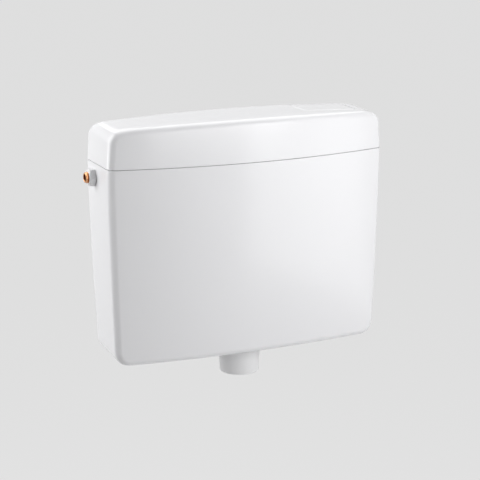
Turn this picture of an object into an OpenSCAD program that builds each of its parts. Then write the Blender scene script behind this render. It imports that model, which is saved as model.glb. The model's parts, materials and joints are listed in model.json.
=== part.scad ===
// Wall-hung toilet cistern: a bowed plastic tank with a lift-off lid, a push
// plate let into the lid, a flush valve lifted by a lever, and a float valve
// fed from the left-hand end. Millimetres. X runs along the wall, the wall is
// the plane Y = 0, the front faces -Y and Z is up. The origin lies midway
// between the two wall-fixing holes, on the wall.

/* [Tank] */
// Width of the tank at the seam under the lid
tank_w = 440; // [400:1:480]
// Depth at the ends, from the wall to the front corners
end_depth = 95; // [88:1:110]
// How far the middle of the front stands out past its corners, at the seam
front_bow = 29; // [20:1:40]
// The same bow at the underside
low_bow = 16; // [12:1:26]
// Height from the underside to the seam
tank_h = 297; // [270:1:330]
// How much each end draws in between the seam and the underside
end_taper = 11; // [4:1:16]
// How much the front corners draw in between the seam and the underside
corner_taper = 2; // [0:0.5:8]
// Shape of the taper: 1 is straight, more draws in lower down
taper_curve = 1.5; // [1:0.1:2.5]
// Thickness of the walls
tank_wall = 4; // [3:0.5:5]
// Radius of the upright front edges
edge_r = 8; // [6:0.5:12]
// Radius round the underside
lower_r = 12; // [8:1:16]

/* [Rim] */
// Width of the open seam between tank and lid
seam_gap = 0.8; // [0.4:0.1:1.5]
// Height of the lip inside the lid
lip_h = 6; // [4:0.5:10]
// Thickness of the lip
lip_wall = 2; // [1.5:0.5:3]
// Clearance between the lip and the lid's wall
lip_gap = 0.4; // [0.3:0.1:1]
// Depth of the thick band under the rim
rim_band = 6; // [4:1:8]

/* [Lid] */
// Height of the lid's crest above the seam
lid_h = 63; // [54:1:74]
// Fall of the lid's top from its crest to the ends
lid_crown = 7; // [2:0.5:9]
// Thickness of the lid's walls
lid_wall = 3; // [2:0.5:4]
// Height of the rounding along the front and back edges of the top
top_round = 13; // [8:1:18]
// How far that rounding reaches in from the front
front_round = 14; // [8:1:18]
// How far it reaches in from the back
back_round = 22; // [8:1:22]
// Height of the rounding at the ends of the top
end_round_h = 28; // [18:1:34]
// How far the rounding reaches in from the ends
end_round = 28; // [18:1:32]
// Distance of the rest ribs from the middle
rib_x = 150; // [110:1:170]
// Height of a rest rib
rib_h = 24; // [14:1:34]
// Thickness of a rest rib
rib_t = 3; // [2:0.5:5]
// How far a rest rib reaches in from the outside
rib_reach = 11; // [8:0.5:14]

/* [Flush plate] */
// Distance of the plate's right edge from the end of the lid
plate_in = 35; // [30:1:40]
// Length of the plate along the wall
plate_w = 85; // [76:1:90]
// Depth of the plate
plate_d = 52; // [44:1:58]
// Distance of the plate's middle from the wall
plate_back = 48; // [44:1:52]
// Thickness of the plate
plate_t = 3; // [2:0.5:4]
// Depth of the skirt round the plate
skirt_h = 6; // [5:0.5:8]
// Gap between the plate and its well
plate_gap = 1.2; // [0.8:0.1:2]
// Depth of the well
well_depth = 24; // [23.5:0.5:28]
// Wall and floor of the well
well_wall = 2.5; // [2:0.5:4]
// Distance of the hinge pin from the plate's right edge
hinge_in = 7; // [6:0.5:10]
// Depth of the hinge pin below the lid's top
hinge_drop = 8; // [7:0.5:10]
// Radius of the hinge pin
hinge_r = 1.5; // [1:0.25:2]
// Wall of the plate's lugs round the pin
lug_wall = 2; // [1.5:0.25:3]
// Width of a lug
lug_w = 8; // [5:1:12]
// Distance of the finger from the hinge pin
finger_arm = 50; // [44:1:54]
// Radius of the finger's nose
finger_r = 4; // [3:0.5:5]
// Width of the finger
finger_w = 14; // [10:1:18]
// Distance of the spring from the hinge pin
spring_arm = 26; // [20:1:32]
// Mean radius of the spring
spring_r = 4.5; // [3.5:0.25:6]
// Diameter of the spring's wire
spring_wire = 1; // [0.8:0.1:1.4]
// Turns of the spring
spring_turns = 6; // [4:0.5:7]

/* [Wall fixing] */
// Height of the seam above the fixing holes
fixing_drop = 35; // [30:1:60]
// Distance between the fixing holes
fixing_span = 200; // [140:1:260]
// Radius of a fixing hole
fixing_r = 4.25; // [3:0.25:6]
// Wall of the boss round a fixing hole
fixing_wall = 7; // [5:0.5:9]
// Depth of the boss from the wall
fixing_boss = 9; // [6:0.5:12]

/* [Inlet] */
// Depth of the inlet's axis below the seam
inlet_drop = 22; // [21:0.5:26]
// Distance of the inlet's axis from the wall
inlet_back = 27; // [24:0.5:30]
// Radius of the inlet tail over its thread
stub_r = 8.33; // [6:0.01:10]
// Radius of the waterway in the tail
stub_bore = 5.5; // [4:0.25:6]
// How much slimmer the tail is behind its free end
tail_relief = 0.25; // [0.15:0.05:0.4]
// How far the tail stands out of the tank's end
stub_out = 14; // [13:0.5:24]
// Length of the tail's spigot inside the float valve
spigot_l = 13; // [8:0.5:18]
// Radius of the spigot
spigot_r = 7; // [6.5:0.25:7.5]
// Thickness of the tail's flange
flange_t = 3; // [2:0.5:5]
// Rim of flange and gasket past the thread
flange_rim = 3.5; // [2.5:0.25:4]
// Thickness of the end gaskets
end_gasket_t = 2; // [1:0.5:3]
// Height of the flat pad inside the tank's end
end_pad = 2; // [1.5:0.5:4]
// Size of the hexagon nuts across their flats
nut_flats = 24; // [22:0.5:28]
// Thickness of the inlet nut
nut_t = 9.5; // [6:0.5:12]
// Chamfer of the nuts' corners
nut_chamfer = 3; // [0.5:0.25:3.5]
// Thickness of the blanking plug's head
plug_head = 4; // [3:0.5:6]
// Thickness of the blanking plug's nut
plug_nut_t = 6; // [4:0.5:8]
// Wall of the strainer cup
strainer_wall = 0.8; // [0.6:0.1:1.2]
// Length of the strainer cup
strainer_l = 10; // [6:0.5:14]

/* [Float valve] */
// Radius of the valve's body
valve_r = 12; // [11:0.5:14]
// Length of the valve's body
valve_l = 46; // [42:1:50]
// Radius of the spout
spout_r = 7; // [6:0.5:8]
// Length of the spout below the axis
spout_l = 26; // [22:1:30]
// Wall of the silencing tube and of the spout
fill_wall = 1.5; // [1:0.25:2]
// How far the spout enters the silencing tube
fill_lap = 10; // [6:0.5:12]
// Height of the silencing tube's end above the underside
fill_end = 44; // [36:1:80]
// Wall of the cap
cap_wall = 2; // [1.5:0.5:3]
// Length of the cap's screwed skirt
cap_lap = 8; // [5:0.5:10]
// Thickness of the cap's end
cap_end = 10; // [6:0.5:12]
// Thickness of the diaphragm
diaphragm_t = 2; // [1:0.5:3]
// Radius of the plunger
plunger_r = 2.5; // [2:0.25:3]
// Distance from the cap to the float arm's pin
arm_pin_out = 12; // [11:0.5:16]
// Depth of the float arm's pin below the valve's axis
arm_pin_drop = 12; // [11:0.5:14]
// Radius of the float arm's pin
arm_pin_r = 2; // [1.5:0.25:2.5]
// Width of the float arm
arm_w = 8; // [6:0.5:10]
// Thickness of the float arm
arm_t = 5; // [4:0.5:6]
// Wall of the arm's hub and of the cap's ears round the pin
hub_wall = 3; // [2:0.5:4]
// Thickness of an ear
ear_t = 3; // [2:0.5:4]
// Reach of the arm from its pin to the float's rod
arm_reach = 60; // [52:1:66]
// How far the arm hangs down when the tank is empty, in degrees
arm_drop = 20; // [10:1:24]
// Depth of the float's axis below the arm
float_drop = 36; // [32:1:44]
// Radius of the float
float_r = 24; // [18:1:26]
// Length of the float
float_l = 56; // [40:1:60]
// Radius of the float's rod
rod_r = 2.5; // [2:0.25:3]

/* [Outlet] */
// Distance of the outlet's axis from the wall
outlet_back = 54; // [52:0.5:58]
// Outside radius of the flush pipe
pipe_r = 20; // [18:0.5:20]
// Clearance of the pipe in its nut
pipe_gap = 0.3; // [0.1:0.05:0.5]
// Radius of the outlet's threaded tail
tail_r = 23.9; // [23:0.1:24.5]
// Wall of the tail
tail_wall = 4; // [3:0.5:5]
// Length of the tail below the tank
tail_out = 20; // [14:1:24]
// Depth of the well in the underside
sump_h = 13; // [12:0.5:18]
// Wall of the well
sump_wall = 4; // [3:0.5:5]
// Room round the locknut in the well
sump_room = 4; // [3:0.5:6]
// Thickness of the locknut
locknut_t = 8; // [6:0.5:8]
// Rim of the locknut past the tail
locknut_rim = 8; // [5:0.5:9]
// Rim of the outlet's flange past the tail
outlet_rim = 10; // [8:0.5:12]
// Thickness of the outlet's flange
outlet_flange = 4; // [3:0.5:6]
// Thickness of the outlet's gasket
outlet_gasket_t = 3; // [2:0.5:4]
// Height of the valve's seat above the flange
seat_h = 4; // [3:0.5:6]
// Top radius of the flush pipe's nut
pipe_nut_r = 30; // [28.5:0.25:33]
// Draw of the nut's side from top to bottom
pipe_nut_draw = 2; // [0:0.25:2.5]
// Length of the nut below the tank
pipe_nut_l = 42; // [34:1:50]
// Length of the nut's lower lip round the pipe
pipe_lip = 8; // [5:0.5:10]
// Radius of the nut's lower edge
pipe_nut_edge = 1.5; // [0.5:0.25:2]

/* [Flush valve] */
// Outside radius of the overflow tube
tube_r = 14; // [12:0.5:15]
// Wall of the overflow tube
tube_wall = 2; // [1.5:0.25:2.5]
// Depth of the tube's top below the seam
tube_drop = 43; // [40:1:60]
// Thickness of the valve's washer
washer_t = 3; // [2:0.5:4]
// Overlap of the washer past the seat
washer_rim = 4; // [3:0.5:5]
// Thickness of the stem's foot and of the lip under the washer
foot_t = 3; // [2:0.5:4]
// Height of the ring float above the foot
bell_up = 6; // [3:1:12]
// Height of the ring float
bell_h = 40; // [25:1:50]
// Thickness of the ring float's wall round the tube
bell_t = 10; // [6:0.5:10]
// Height of the cage
cage_h = 88; // [80:1:100]
// Width of a cage leg
cage_leg = 5; // [4:0.5:6]
// Height of the cage's rings
cage_ring = 6; // [4:0.5:8]
// Wall of the cage's guide round the tube
guide_wall = 3; // [2:0.5:4]
// Wall of the bail's collar
collar_wall = 4; // [3:0.5:5]
// Height of the bail's collar
collar_h = 14; // [10:1:18]
// Thickness of the bail's legs
bail_t = 5; // [4:0.5:6]
// Radius of the bail's bar
bail_r = 3; // [2.5:0.25:4]

/* [Lever] */
// Length of the lever's short arm, from its pin to the finger
lever_arm = 40; // [36:0.5:44]
// Height of the long arm's top above the pin
lever_top = 4; // [3:0.5:5]
// Height of the short arm's pad above the pin
lever_pad = 7; // [6:0.5:8]
// Depth of the lever below the pin
lever_low = 4; // [3:0.5:5]
// Width of the lever
lever_w = 12; // [10:0.5:14]
// How far the lever reaches past the bail and past the finger
lever_over = 8; // [6:0.5:10]
// Radius of the lever's pin
lever_pin_r = 2.5; // [2:0.25:3]
// Wall of the lever's hub and of the bridge's ears round the pin
lever_hub_wall = 5.5; // [4:0.5:6]
// Free height over the lever's pad
lever_room = 3.8; // [3:0.2:5]
// Thickness of the bridge's bar and ears
bridge_t = 4; // [3:0.5:5]
// Width of the bridge's bar
bridge_w = 24; // [20:1:28]
// Depth of the bridge's shelves below the seam
shelf_drop = 15; // [12:1:20]
// Width of a shelf
shelf_w = 18; // [14:1:22]
// Reach of a shelf from the outside
shelf_reach = 16; // [14:0.5:20]
// Height of a shelf
shelf_h = 10; // [6:1:14]
// Radius of a shelf's peg
peg_r = 2.5; // [2:0.25:3]

/* [Liner] */
// Thickness of the foam liner
liner_t = 8; // [5:0.5:10]
// Depth of the liner's top below the seam
liner_drop = 60; // [50:1:90]

/* [Clearances] */
// Radial clearance of a turning pin
run_gap = 0.05; // [0.02:0.01:0.1]
// Radial clearance of a fixed pin, a nut or a plugged joint
fix_gap = 0.05; // [0.02:0.01:0.1]
// Clearance beside moving pieces
side_gap = 0.5; // [0.3:0.1:1]
// Clearance between pieces that push each other
push_gap = 0.6; // [0.5:0.1:1]
// Clearance of rest faces between tank and lid, and round the liner
rest_gap = 0.3; // [0.2:0.05:0.5]

/* [Hidden] */
$fn = 64;
corner_steps = 4;
front_steps = 14;
fall_steps = corner_steps + 2;
round_steps = 5;
side_steps = 6;
liner_steps = 6;
crown_steps = 8;
coil_rings = 8;
wire_sides = 6;
least_r = 3;
over = 1;

// Heights of the tank and the lid
seam_z = fixing_drop;
bottom_z = seam_z - tank_h;
rim_z = seam_z - seam_gap / 2;
lid_z = seam_z + seam_gap / 2;
lip_z = seam_z + lip_h;
lip_in = lid_wall + lip_gap;
rim_in = lip_in + lip_wall;
floor_z = bottom_z + tank_wall;
liner_z = seam_z - liner_drop;

// Flush plate and its well
plate_x1 = tank_w / 2 - plate_in;
plate_x = plate_x1 - plate_w;
plate_y0 = -plate_back - plate_d / 2;
plate_y1 = -plate_back + plate_d / 2;
well_z = top_z(plate_x) - well_depth;
hinge_x = plate_x1 - hinge_in;
hinge_z = top_z(hinge_x) - hinge_drop;
lug_r = hinge_r + run_gap + lug_wall;
finger_x = hinge_x - finger_arm;
spring_x = hinge_x - spring_arm;

// Lever and bridge
lever_x = finger_x - lever_arm;
lever_y = -outlet_back;
lever_z = well_z - well_wall - lever_room - lever_pad;
finger_z = lever_z + lever_pad + push_gap;
lever_hub = lever_pin_r + run_gap + lever_hub_wall;
ear_y = lever_w / 2 + side_gap;
shelf_z = seam_z - shelf_drop;
shelf_front_y = front_y(lever_x + shelf_w / 2) + tank_wall / 2;
shelf_front_edge = shelf_front_y + shelf_reach - tank_wall / 2;
peg_front_y = (shelf_front_y + tank_wall / 2 + shelf_front_edge) / 2;
peg_back_y = -(tank_wall + shelf_reach) / 2;
bridge_y0 = peg_front_y - bridge_t;
bridge_y1 = peg_back_y + bridge_t;

// Inlet, measured from the tank's end: outwards is positive
inlet_y = -inlet_back;
inlet_z = seam_z - inlet_drop;
end_hole_r = stub_r + rest_gap;
pad_face = -(tank_wall + end_pad);
flange_face = pad_face - end_gasket_t;
flange_r = stub_r + flange_rim;
neck_r = stub_r - tail_relief;
nut_face = fix_gap + nut_t;
nut_r = nut_flats / sqrt(3);

// Float valve
valve_x = -tank_w / 2 - flange_face + flange_t;
spout_x = valve_x + valve_l / 2;
cap_x = valve_x + valve_l + diaphragm_t;
cap_face = cap_x + cap_end;
cap_r = valve_r + fix_gap + cap_wall;
arm_x = cap_face + arm_pin_out;
arm_z = inlet_z - arm_pin_drop;
arm_hub = arm_pin_r + run_gap + hub_wall;
arm_top = arm_pin_drop + plunger_r + over;
// Where the arm's face meets the plunger's axis with the arm hanging down
face_lean = tan(arm_drop) * (arm_pin_drop - arm_t / 2 * sin(arm_drop));
plunger_end = arm_x - arm_t / 2 * cos(arm_drop) + face_lean - push_gap;
plunger_stroke = face_lean + arm_t / 2 * (1 - cos(arm_drop));
plunger_start = cap_x + plunger_stroke + side_gap;
float_y1 = -(tank_wall + rest_gap + liner_t + 3 * side_gap);
fill_r = spout_r + fix_gap + fill_wall;
fill_top = inlet_z - spout_l + fill_lap;

// Outlet and flush valve
bore_r = tail_r - tail_wall;
sump_z = bottom_z + sump_h;
sump_floor = sump_z + sump_wall;
locknut_r = tail_r + locknut_rim;
sump_r = locknut_r + sump_room;
outlet_r = tail_r + outlet_rim;
flange_z = sump_floor + outlet_gasket_t;
seat_z = flange_z + outlet_flange + seat_h;
seat_r = bore_r + tail_wall * 3 / 4;
washer_z = seat_z + rest_gap;
washer_r = seat_r + washer_rim;
foot_z = washer_z + washer_t;
tube_top = seam_z - tube_drop;
bell_z = foot_z + foot_t + bell_up;
bell_r = tube_r + fix_gap + bell_t;
cage_z = flange_z + outlet_flange;
cage_in = max(washer_r, bell_r) + side_gap;
cage_out = cage_in + cage_leg;
guide_r = tube_r + side_gap;
collar_r = tube_r + fix_gap + collar_wall;
collar_z = tube_top - collar_h - over;
bail_y = collar_r;
bail_z = lever_z + lever_top + push_gap + bail_r;

// Colours
white = "#f3f4f4";
ivory = "#e9e6dc";
foam = "#f7f7f2";
grey = "#b9bec2";
blue = "#3f78b5";
black = "#2b2b2d";
brass = "#c79a6b";
steel = "#c4c7ca";

// Height of the lid's top along the wall
function top_z(x) = seam_z + lid_h - lid_crown * pow(2 * x / tank_w, 2);

// Radius of an arc from its half width and its bow
function arc_r(half, bow) = (half * half + bow * bow) / (2 * bow);

// Front of the tank at the seam
function front_y(x) = let (r = arc_r(tank_w / 2, front_bow))
    r - end_depth - front_bow - sqrt(r * r - x * x);

// One front corner of an outline, from the end round to the bowed front
function corner(half, mid_y, big, r) =
    let (
        x = half - r,
        y = mid_y - sqrt(pow(big - r, 2) - x * x),
        turn = atan2(y - mid_y, x)
    )
    [for (i = [0 : corner_steps]) let (a = turn * i / corner_steps) [x + r * cos(a), y + r * sin(a)]];

// Front of an outline, from the right-hand end to the left-hand end
function front_line(half, depth, bow, r) =
    let (
        big = arc_r(half, bow),
        mid_y = big - depth - bow,
        right = corner(half, mid_y, big, r),
        turn = atan2(right[corner_steps].y - mid_y, right[corner_steps].x)
    )
    concat(
        right,
        [for (i = [1 : front_steps - 1])
            let (a = turn - (180 + 2 * turn) * i / front_steps) [big * cos(a), mid_y + big * sin(a)]],
        [for (i = [corner_steps : -1 : 0]) [-right[i].x, right[i].y]]
    );

// How much of the ends' extra fall a point of an outline takes
function end_share(i, last) = let (k = min(i, last - i, fall_steps)) (1 + cos(180 * k / fall_steps)) / 2;

// Closed outline at one level, drawn in from the ends, the front and the back;
// the level may rise towards the middle by a crown and fall at the ends
function ring(half, depth, bow, end_in, front_in, back_in, z, crown, fall) =
    let (
        w = half - end_in,
        b = bow * pow(w / half, 2),
        line = front_line(w, depth + bow - b - front_in, b, max(least_r, edge_r - front_in)),
        last = len(line) - 1,
        level = [for (i = [0 : last])
            z + crown * (1 - pow(2 * line[i].x / tank_w, 2)) - fall * end_share(i, last)]
    )
    concat(
        [for (i = [0 : last]) [line[i].x, line[i].y, level[i]]],
        [for (i = [last : -1 : 0]) [line[i].x, -back_in, level[i]]]
    );

// How far the taper has gone at a height: 0 at the seam, 1 at the underside
function taper(z) = pow(max(0, (seam_z - z) / tank_h), taper_curve);

// Outline of the tank at a height, drawn in all round
function tank_ring(z, in, back_in) = let (t = taper(z))
    ring(
        tank_w / 2 - end_taper * t, end_depth - corner_taper * t,
        front_bow + (low_bow - front_bow) * t, in, in, back_in, z, 0, 0
    );

// Rounded lower edge of a tank-shaped surface, from its floor up
function lower_rings(z, r, in, back, steps) =
    [for (i = [steps : -1 : 0]) let (a = 90 * i / steps)
        tank_ring(z + r * (1 - sin(a)), in + r * (1 - cos(a)), back)];

// Side of a tank-shaped surface, from one height up to another
function side_rings(z0, z1, in, back, steps) =
    [for (i = [1 : steps]) tank_ring(z0 + (z1 - z0) * i / steps, in, back)];

// The same list from its end
function flipped(list) = [for (i = [len(list) - 1 : -1 : 0]) list[i]];

// Rounded top of a lid surface, from its side up to its ceiling
function lid_rings(in, steps) =
    let (r = top_round - in, z = seam_z + lid_h - lid_crown - in)
    [for (i = [0 : steps]) let (a = 90 * i / steps, c = 1 - cos(a), d = 1 - sin(a))
        ring(
            tank_w / 2, end_depth, front_bow, in + (end_round - in) * c,
            in + (front_round - in) * c, in + (back_round - in) * c,
            z - r * d, lid_crown, (end_round_h - top_round) * d
        )];

// Rim of the lid's skirt
function lid_rim(in) = ring(tank_w / 2, end_depth, front_bow, in, in, in, lid_z, 0, 0);

// Solid through a chain of outlines that runs up its outside
module loft(rings) {
    n = len(rings[0]);
    half = n / 2;
    last = (len(rings) - 1) * n;
    sides = [for (k = [0 : len(rings) - 2]) for (j = [0 : n - 1])
        let (a = k * n + j, b = k * n + (j + 1) % n)
        each [[a, b, b + n], [a, b + n, a + n]]];
    first_cap = [for (j = [0 : half - 2])
        let (a = j, b = j + 1, c = n - 2 - j, d = n - 1 - j) each [[d, c, b], [d, b, a]]];
    last_cap = [for (j = [0 : half - 2])
        let (a = last + j, b = last + j + 1, c = last + n - 2 - j, d = last + n - 1 - j)
        each [[a, b, c], [a, c, d]]];
    polyhedron([for (r = rings) each r], concat(sides, first_cap, last_cap), convexity = 6);
}

// Slab whose top follows the lid's crown, sunk below it
module crown_slab(x0, x1, y0, y1, low, sink) {
    top = [for (i = [0 : crown_steps])
        let (x = x0 + (x1 - x0) * i / crown_steps) [x, top_z(x) - sink]];
    translate([0, y1, 0])
        rotate([90, 0, 0])
            linear_extrude(y1 - y0)
                polygon(concat([[x1, low], [x0, low]], top));
}

// Box between two corners
module box(a, b) {
    translate(a)
        cube(b - a);
}

// Round bar along Y, centred on y
module bar_y(x, y, z, r, length) {
    translate([x, y + length / 2, z])
        rotate([90, 0, 0])
            cylinder(r = r, h = length);
}

// Tube along its own Z
module pipe(r_out, r_in, h) {
    difference() {
        cylinder(r = r_out, h = h);
        translate([0, 0, -over])
            cylinder(r = r_in, h = h + 2 * over);
    }
}

// Hexagon nut along its own Z with chamfered corners at the far face
module hex_nut(bore, t) {
    difference() {
        intersection() {
            cylinder(r = nut_r, h = t, $fn = 6);
            union() {
                cylinder(r = nut_r + over, h = t - nut_chamfer);
                translate([0, 0, t - nut_chamfer])
                    cylinder(r1 = nut_r + over, r2 = nut_r - nut_chamfer, h = nut_chamfer);
            }
        }
        translate([0, 0, -over])
            cylinder(r = bore, h = t + 2 * over);
    }
}

// Place on the inlet's axis at a tank end (-1 left, 1 right), outwards up
module at_end(side) {
    translate([side * tank_w / 2, inlet_y, inlet_z])
        rotate([0, side * 90, 0])
            children();
}

// Place on the inlet's axis, towards the middle of the tank
module along_inlet(x) {
    translate([x, inlet_y, inlet_z])
        rotate([0, 90, 0])
            children();
}

// Place on the outlet's axis
module at_outlet(z) {
    translate([0, -outlet_back, z])
        children();
}

// Place of the float arm, hanging down, from its pin
module at_arm() {
    translate([arm_x, inlet_y, arm_z])
        rotate([0, arm_drop, 0])
            children();
}

module tank_shell() {
    outside = concat(
        lower_rings(bottom_z, lower_r, 0, 0, round_steps),
        side_rings(bottom_z + lower_r, rim_z, 0, 0, side_steps)
    );
    rim = [
        tank_ring(rim_z, lip_in, lip_in), tank_ring(lip_z, lip_in, lip_in),
        tank_ring(lip_z, rim_in, rim_in), tank_ring(seam_z - rim_band, rim_in, rim_in)
    ];
    low = lower_r - tank_wall;
    inside = concat(
        lower_rings(floor_z, low, tank_wall, tank_wall, round_steps),
        side_rings(floor_z + low, seam_z - rim_band - rim_in, tank_wall, tank_wall, side_steps)
    );
    loft(concat(outside, rim, flipped(inside)));
}

// Shelves for the bridge, with a peg on each
module bridge_shelves() {
    x0 = lever_x - shelf_w / 2;
    x1 = lever_x + shelf_w / 2;
    box([x0, shelf_front_y, shelf_z - shelf_h], [x1, shelf_front_edge, shelf_z]);
    box([x0, -shelf_reach, shelf_z - shelf_h], [x1, -tank_wall / 2, shelf_z]);
    for (y = [peg_front_y, peg_back_y])
        translate([lever_x, y, shelf_z - over])
            cylinder(r = peg_r, h = bridge_t + over);
}

module tank() {
    color(white)
        difference() {
            union() {
                tank_shell();
                bridge_shelves();
                for (side = [-1, 1]) {
                    bar_y(side * fixing_span / 2, -(fixing_boss + over) / 2, 0,
                          fixing_r + fixing_wall, fixing_boss - over);
                    at_end(side)
                        translate([0, 0, pad_face])
                            cylinder(r = flange_r + over, h = end_pad + tank_wall / 2);
                }
                at_outlet(bottom_z + tank_wall / 2)
                    cylinder(r = sump_r + sump_wall, h = sump_floor - bottom_z - tank_wall / 2);
            }
            for (side = [-1, 1]) {
                bar_y(side * fixing_span / 2, -fixing_boss / 2, 0, fixing_r, fixing_boss + 4 * over);
                at_end(side)
                    translate([0, 0, pad_face - over])
                        cylinder(r = end_hole_r, h = end_pad + tank_wall + 3 * over);
            }
            at_outlet(bottom_z - over)
                cylinder(r = sump_r, h = sump_h + over);
            at_outlet(sump_z - over)
                cylinder(r = tail_r + rest_gap, h = sump_wall + 2 * over);
        }
}

module insulating_liner() {
    out_in = tank_wall + rest_gap;
    in_in = out_in + liner_t;
    out_z = floor_z + rest_gap;
    in_z = out_z + liner_t;
    out_r = lower_r - tank_wall;
    in_r = least_r;
    outside = concat(
        lower_rings(out_z, out_r, out_in, out_in, liner_steps),
        side_rings(out_z + out_r, liner_z, out_in, out_in, liner_steps)
    );
    inside = concat(
        lower_rings(in_z, in_r, in_in, in_in, liner_steps),
        side_rings(in_z + in_r, liner_z, in_in, in_in, liner_steps)
    );
    color(foam)
        difference() {
            loft(concat(outside, flipped(inside)));
            at_outlet(bottom_z)
                cylinder(r = sump_r + sump_wall + rest_gap, h = sump_floor + liner_t - bottom_z);
        }
}

// Ribs inside the lid that rest on the tank's lip
module rest_ribs() {
    z0 = lip_z + rest_gap;
    for (side = [-1, 1]) {
        x = side * rib_x - rib_t / 2;
        y = front_y(rib_x + rib_t / 2) + lid_wall / 2;
        box([x, y, z0], [x + rib_t, y + rib_reach, z0 + rib_h]);
        box([x, -rib_reach, z0], [x + rib_t, -lid_wall / 2, z0 + rib_h]);
    }
}

module lid() {
    color(white)
        difference() {
            union() {
                loft(concat(
                    flipped(lid_rings(lid_wall, round_steps)),
                    [lid_rim(lid_wall), lid_rim(0)],
                    lid_rings(0, round_steps)
                ));
                crown_slab(
                    plate_x - plate_gap - well_wall, plate_x1 + plate_gap + well_wall,
                    plate_y0 - plate_gap - well_wall, plate_y1 + plate_gap + well_wall,
                    well_z - well_wall, lid_wall / 2
                );
                rest_ribs();
            }
            box([plate_x - plate_gap, plate_y0 - plate_gap, well_z],
                [plate_x1 + plate_gap, plate_y1 + plate_gap, top_z(0) + over]);
            box([finger_x - 2 * finger_r, lever_y - finger_w / 2 - push_gap, well_z - well_wall - over],
                [finger_x + 3 * finger_r, lever_y + finger_w / 2 + push_gap, well_z + over]);
            bar_y(hinge_x, -plate_back, hinge_z, hinge_r + fix_gap,
                  plate_d + 2 * plate_gap + 2 * well_wall + 2 * over);
        }
}

module flush_plate() {
    lug_y = plate_d / 2 - plate_t - lug_w;
    color(white)
        difference() {
            union() {
                difference() {
                    crown_slab(plate_x, plate_x1, plate_y0, plate_y1, top_z(plate_x1) - skirt_h, 0);
                    crown_slab(
                        plate_x + plate_t, plate_x1 - plate_t, plate_y0 + plate_t, plate_y1 - plate_t,
                        top_z(plate_x1) - skirt_h - over, plate_t
                    );
                }
                for (side = [-1, 1]) {
                    y = -plate_back + side * (lug_y + lug_w / 2);
                    bar_y(hinge_x, y, hinge_z, lug_r, lug_w);
                    crown_slab(hinge_x - lug_r, hinge_x + lug_r, y - lug_w / 2, y + lug_w / 2,
                               hinge_z, plate_t / 2);
                }
                bar_y(finger_x, lever_y, finger_z + finger_r, finger_r, finger_w);
                crown_slab(finger_x - finger_r, finger_x + finger_r, lever_y - finger_w / 2,
                           lever_y + finger_w / 2, finger_z + finger_r, plate_t / 2);
                translate([spring_x, -plate_back, top_z(spring_x) - plate_t - skirt_h / 2])
                    cylinder(r = spring_r - spring_wire / 2 - side_gap, h = skirt_h / 2 + plate_t / 2);
            }
            bar_y(hinge_x, -plate_back, hinge_z, hinge_r + run_gap, plate_d + 2 * over);
        }
}

module plate_pin() {
    color(steel)
        bar_y(hinge_x, -plate_back, hinge_z, hinge_r, plate_d + 2 * plate_gap + 2 * well_wall);
}

// Centre line of the plate's spring
spring_low = well_z + rest_gap + spring_wire / 2;
spring_high = top_z(spring_x + spring_r) - plate_t - rest_gap - spring_wire / 2;
spring_rings = round(spring_turns * coil_rings);
spring_line = [for (i = [0 : spring_rings]) let (a = 360 * spring_turns * i / spring_rings)
    [spring_r * cos(a), spring_r * sin(a), spring_low + (spring_high - spring_low) * i / spring_rings]];
// Least clear gap between neighbouring turns
spring_clear = min([for (i = [0 : spring_rings - coil_rings]) for (j = [-1 : 1])
    norm(spring_line[min(i + coil_rings + j, spring_rings)] - spring_line[i])]) - spring_wire;
echo(plate_spring_least_gap = spring_clear);

module plate_spring() {
    rise = (spring_high - spring_low) / (2 * PI * spring_turns);
    points = [for (i = [0 : spring_rings]) let (
            a = 360 * spring_turns * i / spring_rings,
            along = [-spring_r * sin(a), spring_r * cos(a), rise] / norm([spring_r, rise]),
            out = [cos(a), sin(a), 0],
            side = cross(along, out)
        ) each [for (k = [0 : wire_sides - 1]) let (b = 360 * k / wire_sides)
            spring_line[i] + spring_wire / 2 * (cos(b) * out + sin(b) * side)]];
    faces = [for (i = [0 : spring_rings - 1]) for (k = [0 : wire_sides - 1])
        let (a = i * wire_sides + k, b = i * wire_sides + (k + 1) % wire_sides)
        each [[a, b, b + wire_sides], [a, b + wire_sides, a + wire_sides]]];
    end = spring_rings * wire_sides;
    caps = [for (k = [1 : wire_sides - 2]) each [[0, k + 1, k], [end, end + k, end + k + 1]]];
    color(steel)
        translate([spring_x, -plate_back, 0])
            polyhedron(points, concat(faces, caps), convexity = 8);
}

module lever_bridge() {
    x0 = lever_x - bridge_w / 2;
    color(grey)
        difference() {
            union() {
                box([x0, bridge_y0, shelf_z], [x0 + bridge_w, bridge_y1, shelf_z + bridge_t]);
                for (side = [-1, 1]) {
                    y = lever_y + side * (ear_y + bridge_t / 2);
                    bar_y(lever_x, y, lever_z, lever_hub, bridge_t);
                    box([lever_x - lever_hub, y - bridge_t / 2, shelf_z],
                        [lever_x + lever_hub, y + bridge_t / 2, lever_z]);
                }
            }
            bar_y(lever_x, lever_y, lever_z, lever_pin_r + fix_gap, 2 * (ear_y + bridge_t + over));
            for (y = [peg_front_y, peg_back_y])
                translate([lever_x, y, shelf_z - over])
                    cylinder(r = peg_r + fix_gap, h = bridge_t + 2 * over);
        }
}

module lever_pin() {
    color(steel)
        bar_y(lever_x, lever_y, lever_z, lever_pin_r, 2 * (ear_y + bridge_t));
}

module lift_lever() {
    pad_x = finger_x - finger_r - lever_over;
    end_x = finger_x + finger_r + lever_over;
    color(ivory)
        difference() {
            union() {
                translate([0, lever_y + lever_w / 2, lever_z])
                    rotate([90, 0, 0])
                        linear_extrude(lever_w)
                            polygon([
                                [-lever_over, -lever_low], [-lever_over, lever_top],
                                [lever_x - lever_hub, lever_top], [pad_x - lever_over, lever_pad],
                                [end_x, lever_pad], [end_x, 0], [end_x - lever_over, -lever_low]
                            ]);
                bar_y(lever_x, lever_y, lever_z, lever_hub - run_gap, lever_w);
            }
            bar_y(lever_x, lever_y, lever_z, lever_pin_r + run_gap, lever_w + 2 * over);
        }
}

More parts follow.
